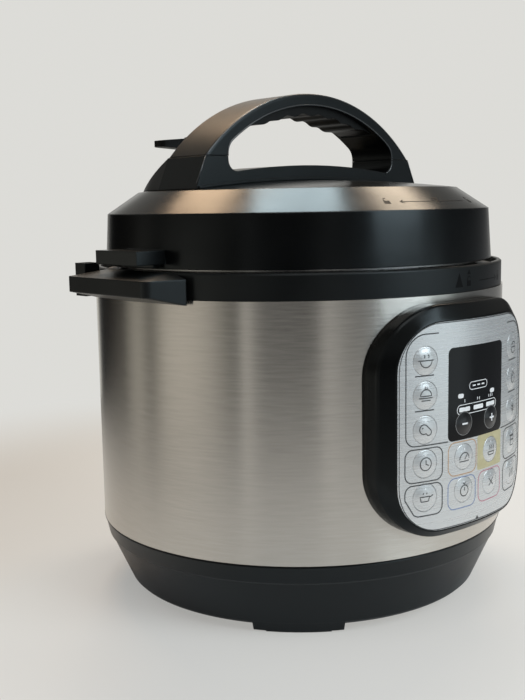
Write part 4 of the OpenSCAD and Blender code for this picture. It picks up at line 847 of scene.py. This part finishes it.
def make_floor():
    n = 96
    rim = [(FLOOR_R * math.cos(math.tau * i / n), FLOOR_R * math.sin(math.tau * i / n), 0) for i in range(n)]
    mesh = bpy.data.meshes.new("floor")
    mesh.from_pydata(rim, [], [tuple(range(n))])
    floor = bpy.data.objects.new("floor", mesh)
    bpy.context.scene.collection.objects.link(floor)
    mat = bpy.data.materials.new("floor")
    mat.use_nodes = True
    t = mat.node_tree
    shader = t.nodes["Principled BSDF"]
    shader.inputs["Roughness"].default_value = 0.9
    coords = t.nodes.new("ShaderNodeTexCoord")
    noise = t.nodes.new("ShaderNodeTexNoise")
    noise.inputs["Scale"].default_value = 2.2
    noise.inputs["Detail"].default_value = 3.0
    mix = t.nodes.new("ShaderNodeMix")
    mix.data_type = "RGBA"
    mix.inputs[6].default_value = (0.80, 0.785, 0.755, 1)
    mix.inputs[7].default_value = (0.86, 0.855, 0.845, 1)
    node_link(t, coords.outputs["Object"], noise.inputs["Vector"])
    node_link(t, noise.outputs["Fac"], mix.inputs["Factor"])
    # painted shadow: towards SHADE_WAY the floor's colour darkens to the warm SHADE_TONE, up to SHADE_DEPTH
    lean = t.nodes.new("ShaderNodeVectorMath")
    lean.operation = "DOT_PRODUCT"
    lean.inputs[1].default_value = to_object_frame(SHADE_WAY)
    node_link(t, coords.outputs["Object"], lean.inputs[0])
    side = t.nodes.new("ShaderNodeMapRange")
    side.interpolation_type = "SMOOTHSTEP"
    for key, v in (("From Min", 0.02), ("From Max", 0.34), ("To Min", 0.0), ("To Max", SHADE_DEPTH)):
        side.inputs[key].default_value = v
    node_link(t, lean.outputs["Value"], side.inputs["Value"])
    ground = t.nodes.new("ShaderNodeMix")
    ground.data_type = "RGBA"
    ground.inputs[7].default_value = (*SHADE_TONE, 1)
    node_link(t, side.outputs["Result"], ground.inputs["Factor"])
    node_link(t, mix.outputs[2], ground.inputs[6])
    node_link(t, ground.outputs[2], shader.inputs["Base Color"])
    # far from the cooker the floor turns into the backdrop
    far = t.nodes.new("ShaderNodeEmission")
    far.inputs["Color"].default_value = (*BACKDROP, 1)
    length = t.nodes.new("ShaderNodeVectorMath")
    length.operation = "LENGTH"
    node_link(t, coords.outputs["Object"], length.inputs[0])
    fade = t.nodes.new("ShaderNodeMapRange")
    fade.interpolation_type = "SMOOTHSTEP"
    for key, v in (("From Min", FLOOR_R * 0.5), ("From Max", FLOOR_R * 0.97), ("To Max", 1.0)):
        fade.inputs[key].default_value = v
    # camera rays see the floor lifted towards the backdrop, less on the side of the painted shadow
    lift = t.nodes.new("ShaderNodeMapRange")
    for key, v in (("From Min", -0.3), ("From Max", 0.2), ("To Min", FLOOR_LIFT),
                   ("To Max", FLOOR_LIFT * 0.5)):
        lift.inputs[key].default_value = v
    node_link(t, lean.outputs["Value"], lift.inputs["Value"])
    node_link(t, lift.outputs["Result"], fade.inputs["To Min"])
    node_link(t, length.outputs["Value"], fade.inputs["Value"])
    path = t.nodes.new("ShaderNodeLightPath")
    camera_only = t.nodes.new("ShaderNodeMath")
    camera_only.operation = "MULTIPLY"
    node_link(t, fade.outputs["Result"], camera_only.inputs[0])
    seen = t.nodes.new("ShaderNodeMath")
    seen.operation = "MAXIMUM"
    node_link(t, path.outputs["Is Camera Ray"], seen.inputs[0])
    node_link(t, path.outputs["Is Transmission Ray"], seen.inputs[1])
    node_link(t, seen.outputs["Value"], camera_only.inputs[1])
    blend = t.nodes.new("ShaderNodeMixShader")
    node_link(t, camera_only.outputs["Value"], blend.inputs["Fac"])
    node_link(t, shader.outputs["BSDF"], blend.inputs[1])
    node_link(t, far.outputs["Emission"], blend.inputs[2])
    # painted reflection: polished surfaces see the floor as a glow of its own, which darkens with distance,
    # as it does in a room, and is brighter on the side away from the painted shadow
    reach = t.nodes.new("ShaderNodeMath")
    reach.operation = "DIVIDE"
    reach.inputs[1].default_value = FLOOR_R
    node_link(t, length.outputs["Value"], reach.inputs[0])
    mirrored = t.nodes.new("ShaderNodeEmission")
    glow = t.nodes.new("ShaderNodeMapRange")
    for key, v in (("From Min", -0.45), ("From Max", -0.12), ("To Min", MIRROR_GLOW), ("To Max", 1.0)):
        glow.inputs[key].default_value = v
    node_link(t, lean.outputs["Value"], glow.inputs["Value"])
    node_link(t, glow.outputs["Result"], mirrored.inputs["Strength"])
    node_link(t, stop_ramp(t, reach.outputs["Value"], MIRROR_TONES, "LINEAR"), mirrored.inputs["Color"])
    share = t.nodes.new("ShaderNodeMath")
    share.operation = "MULTIPLY"
    node_link(t, stop_ramp(t, reach.outputs["Value"], MIRROR_SHARES, "LINEAR"), share.inputs[0])
    node_link(t, path.outputs["Is Glossy Ray"], share.inputs[1])
    last = t.nodes.new("ShaderNodeMixShader")
    node_link(t, share.outputs["Value"], last.inputs["Fac"])
    node_link(t, blend.outputs["Shader"], last.inputs[1])
    node_link(t, mirrored.outputs["Emission"], last.inputs[2])
    node_link(t, last.outputs["Shader"], t.nodes["Material Output"].inputs["Surface"])
    mesh.materials.append(mat)


BACKDROP = (0.72, 0.715, 0.685)
FLOOR_R = 0.62
FLOOR_LIFT = 0.75
# painted reflection of the floor: the glow's strength, tones and shares that glossy rays see
MIRROR_GLOW = 1.5
MIRROR_TONES = ((0.25, (0.78, 0.77, 0.74)), (0.50, (0.62, 0.61, 0.585)), (0.95, (0.16, 0.16, 0.15)))
MIRROR_SHARES = ((0.23, (0.05, 0.05, 0.05)), (0.40, (0.5, 0.5, 0.5)), (0.95, (0.9, 0.9, 0.9)))
# painted shadow on the floor, darkest along SHADE_WAY
SHADE_WAY, SHADE_DEPTH, SHADE_TONE = (-0.96, 0.28, 0.0), 0.75, (0.42, 0.37, 0.30)


def make_world():
    """Camera and transmission rays see the plain backdrop, and diffuse rays see an even soft fill.

    Glossy rays see something else: a ramp of tones round the object, a ceiling and a pale wall behind.
    """
    world = bpy.data.worlds.new("studio")
    bpy.context.scene.world = world
    world.use_nodes = True
    t = world.node_tree
    t.nodes.clear()
    out = t.nodes.new("ShaderNodeOutputWorld")
    coords = t.nodes.new("ShaderNodeTexCoord")
    turn = t.nodes.new("ShaderNodeMapping")
    turn.inputs["Rotation"].default_value = (0, 0, math.radians(WORLD_TURN))
    node_link(t, coords.outputs["Generated"], turn.inputs["Vector"])
    radial = t.nodes.new("ShaderNodeTexGradient")
    radial.gradient_type = "RADIAL"
    node_link(t, turn.outputs["Vector"], radial.inputs["Vector"])
    plain = t.nodes.new("ShaderNodeBackground")
    plain.inputs["Color"].default_value = (*BACKDROP, 1)
    room = t.nodes.new("ShaderNodeBackground")
    node_link(t, stop_ramp(t, radial.outputs["Fac"], WORLD_STOPS), room.inputs["Color"])
    split = t.nodes.new("ShaderNodeSeparateXYZ")
    node_link(t, coords.outputs["Generated"], split.inputs["Vector"])
    dim = t.nodes.new("ShaderNodeMapRange")
    for key, v in (("From Min", -0.08), ("From Max", 0.07), ("To Min", 1.15), ("To Max", 0.16)):
        dim.inputs[key].default_value = v
    node_link(t, split.outputs["Z"], dim.inputs["Value"])
    node_link(t, dim.outputs["Result"], room.inputs["Strength"])
    ceiling = t.nodes.new("ShaderNodeBackground")
    node_link(t, stop_ramp(t, split.outputs["Z"], CEILING_STOPS), ceiling.inputs["Color"])
    upper = t.nodes.new("ShaderNodeAddShader")
    node_link(t, room.outputs["Background"], upper.inputs[0])
    node_link(t, ceiling.outputs["Background"], upper.inputs[1])
    # the pale wall behind the cooker
    behind = t.nodes.new("ShaderNodeVectorMath")
    behind.operation = "DOT_PRODUCT"
    behind.inputs[1].default_value = to_object_frame((0, 1, 0))
    node_link(t, coords.outputs["Generated"], behind.inputs[0])
    facing = t.nodes.new("ShaderNodeMapRange")
    facing.interpolation_type = "SMOOTHSTEP"
    for key, v in (("From Min", 0.87), ("From Max", 0.96), ("To Min", 0.0), ("To Max", 1.0)):
        facing.inputs[key].default_value = v
    node_link(t, behind.outputs["Value"], facing.inputs["Value"])
    above = t.nodes.new("ShaderNodeMath")
    above.operation = "MULTIPLY"
    node_link(t, facing.outputs["Result"], above.inputs[0])
    node_link(t, stop_ramp(t, split.outputs["Z"], WALL_STOPS), above.inputs[1])
    wall = t.nodes.new("ShaderNodeBackground")
    wall.inputs["Color"].default_value = (*BACKDROP, 1)
    node_link(t, above.outputs["Value"], wall.inputs["Strength"])
    whole = t.nodes.new("ShaderNodeAddShader")
    node_link(t, upper.outputs["Shader"], whole.inputs[0])
    node_link(t, wall.outputs["Background"], whole.inputs[1])
    soft = t.nodes.new("ShaderNodeBackground")
    soft.inputs["Color"].default_value = (0.93, 0.95, 1.0, 1)
    soft.inputs["Strength"].default_value = WORLD_FILL
    path = t.nodes.new("ShaderNodeLightPath")
    first = t.nodes.new("ShaderNodeMixShader")
    node_link(t, path.outputs["Is Glossy Ray"], first.inputs["Fac"])
    node_link(t, soft.outputs["Background"], first.inputs[1])
    node_link(t, whole.outputs["Shader"], first.inputs[2])
    seen = t.nodes.new("ShaderNodeMath")
    seen.operation = "MAXIMUM"
    node_link(t, path.outputs["Is Camera Ray"], seen.inputs[0])
    node_link(t, path.outputs["Is Transmission Ray"], seen.inputs[1])
    second = t.nodes.new("ShaderNodeMixShader")
    node_link(t, seen.outputs["Value"], second.inputs["Fac"])
    node_link(t, first.outputs["Shader"], second.inputs[1])
    node_link(t, plain.outputs["Background"], second.inputs[2])
    node_link(t, second.outputs["Shader"], out.inputs["Surface"])


# Tones that reflections see round the object: 0.5 is straight ahead of the camera, 0 and 1 are behind it.
# They were set, until the streaks on the steel stood where the photograph has them.
WORLD_TURN = -46
WORLD_FILL = 0.30
WALL_STOPS = ((0.0, (0.1, 0.1, 0.1)), (0.05, (0.8, 0.8, 0.8)), (0.40, (0.8, 0.8, 0.8)),
              (0.62, (0.0, 0.0, 0.0)))
CEILING_STOPS = (
    (0.16, (0.0, 0.0, 0.0)),
    (0.30, (0.24, 0.235, 0.22)),
    (0.55, (0.20, 0.195, 0.18)),
    (0.90, (0.06, 0.06, 0.06)),
)
WORLD_STOPS = (
    (0.0, (0.045, 0.045, 0.045)),
    (0.026, (0.05, 0.05, 0.05)),
    (0.041, (0.54, 0.53, 0.51)),
    (0.06, (0.32, 0.32, 0.31)),
    (0.08, (0.18, 0.18, 0.18)),
    (0.13, (0.10, 0.11, 0.12)),
    (0.17, (0.80, 0.90, 0.95)),
    (0.235, (0.85, 0.97, 1.0)),
    (0.262, (0.10, 0.11, 0.12)),
    (0.38, (0.16, 0.165, 0.17)),
    (0.45, (0.30, 0.30, 0.29)),
    (0.49, (0.30, 0.30, 0.28)),
    (0.535, (0.40, 0.39, 0.36)),
    (0.567, (0.50, 0.49, 0.45)),
    (0.585, (0.05, 0.05, 0.05)),
    (0.61, (0.01, 0.01, 0.01)),
    (0.688, (0.02, 0.018, 0.015)),
    (0.717, (0.42, 0.40, 0.35)),
    (0.735, (0.40, 0.38, 0.33)),
    (0.752, (0.17, 0.16, 0.14)),
    (0.766, (0.22, 0.21, 0.18)),
    (0.788, (0.68, 0.64, 0.56)),
    (0.83, (0.78, 0.73, 0.64)),
    (0.865, (0.54, 0.51, 0.45)),
    (0.888, (0.26, 0.25, 0.22)),
    (0.909, (0.04, 0.04, 0.035)),
    (0.921, (0.72, 0.70, 0.65)),
    (0.934, (0.30, 0.29, 0.27)),
    (0.952, (0.07, 0.07, 0.07)),
    (1.0, (0.05, 0.05, 0.05)),
)


def area_light(name, place, target, size, power, colour):
    data = bpy.data.lights.new(name, "AREA")
    data.shape = "RECTANGLE"
    data.size, data.size_y = size
    data.energy = power
    data.color = colour
    light = bpy.data.objects.new(name, data)
    bpy.context.scene.collection.objects.link(light)
    at = to_object_frame(place)
    light.location = at
    light.rotation_mode = "QUATERNION"
    light.rotation_quaternion = (Vector(target) - at).to_track_quat("-Z", "Y")
    return light


make_floor()
make_world()
# places are in axes that face the camera: x to the right, y away, z up
area_light("window_right", (1.21, -0.76, 0.80), (0, 0, 0.14), (0.85, 0.95), 11, (0.80, 0.93, 1.0))
area_light("overhead", (0.0, 0.62, 1.55), (0, 0, 0.15), (0.55, 0.45), 6.5, (0.82, 0.96, 1.0))
area_light("lamp_left", (-0.325, 0.78, 1.28), (0, 0, 0.2), (0.5, 0.45), 6.1, (1.0, 0.69, 0.44))
area_light("lamp_back", (0.47, 0.84, 1.35), (0, 0, 0.2), (0.45, 0.4), 4.4, (1.0, 0.80, 0.60))
area_light("overhead_front", (0.25, -0.75, 1.7), (0, 0, 0), (1.4, 1.0), 7, (1.0, 0.99, 0.97))
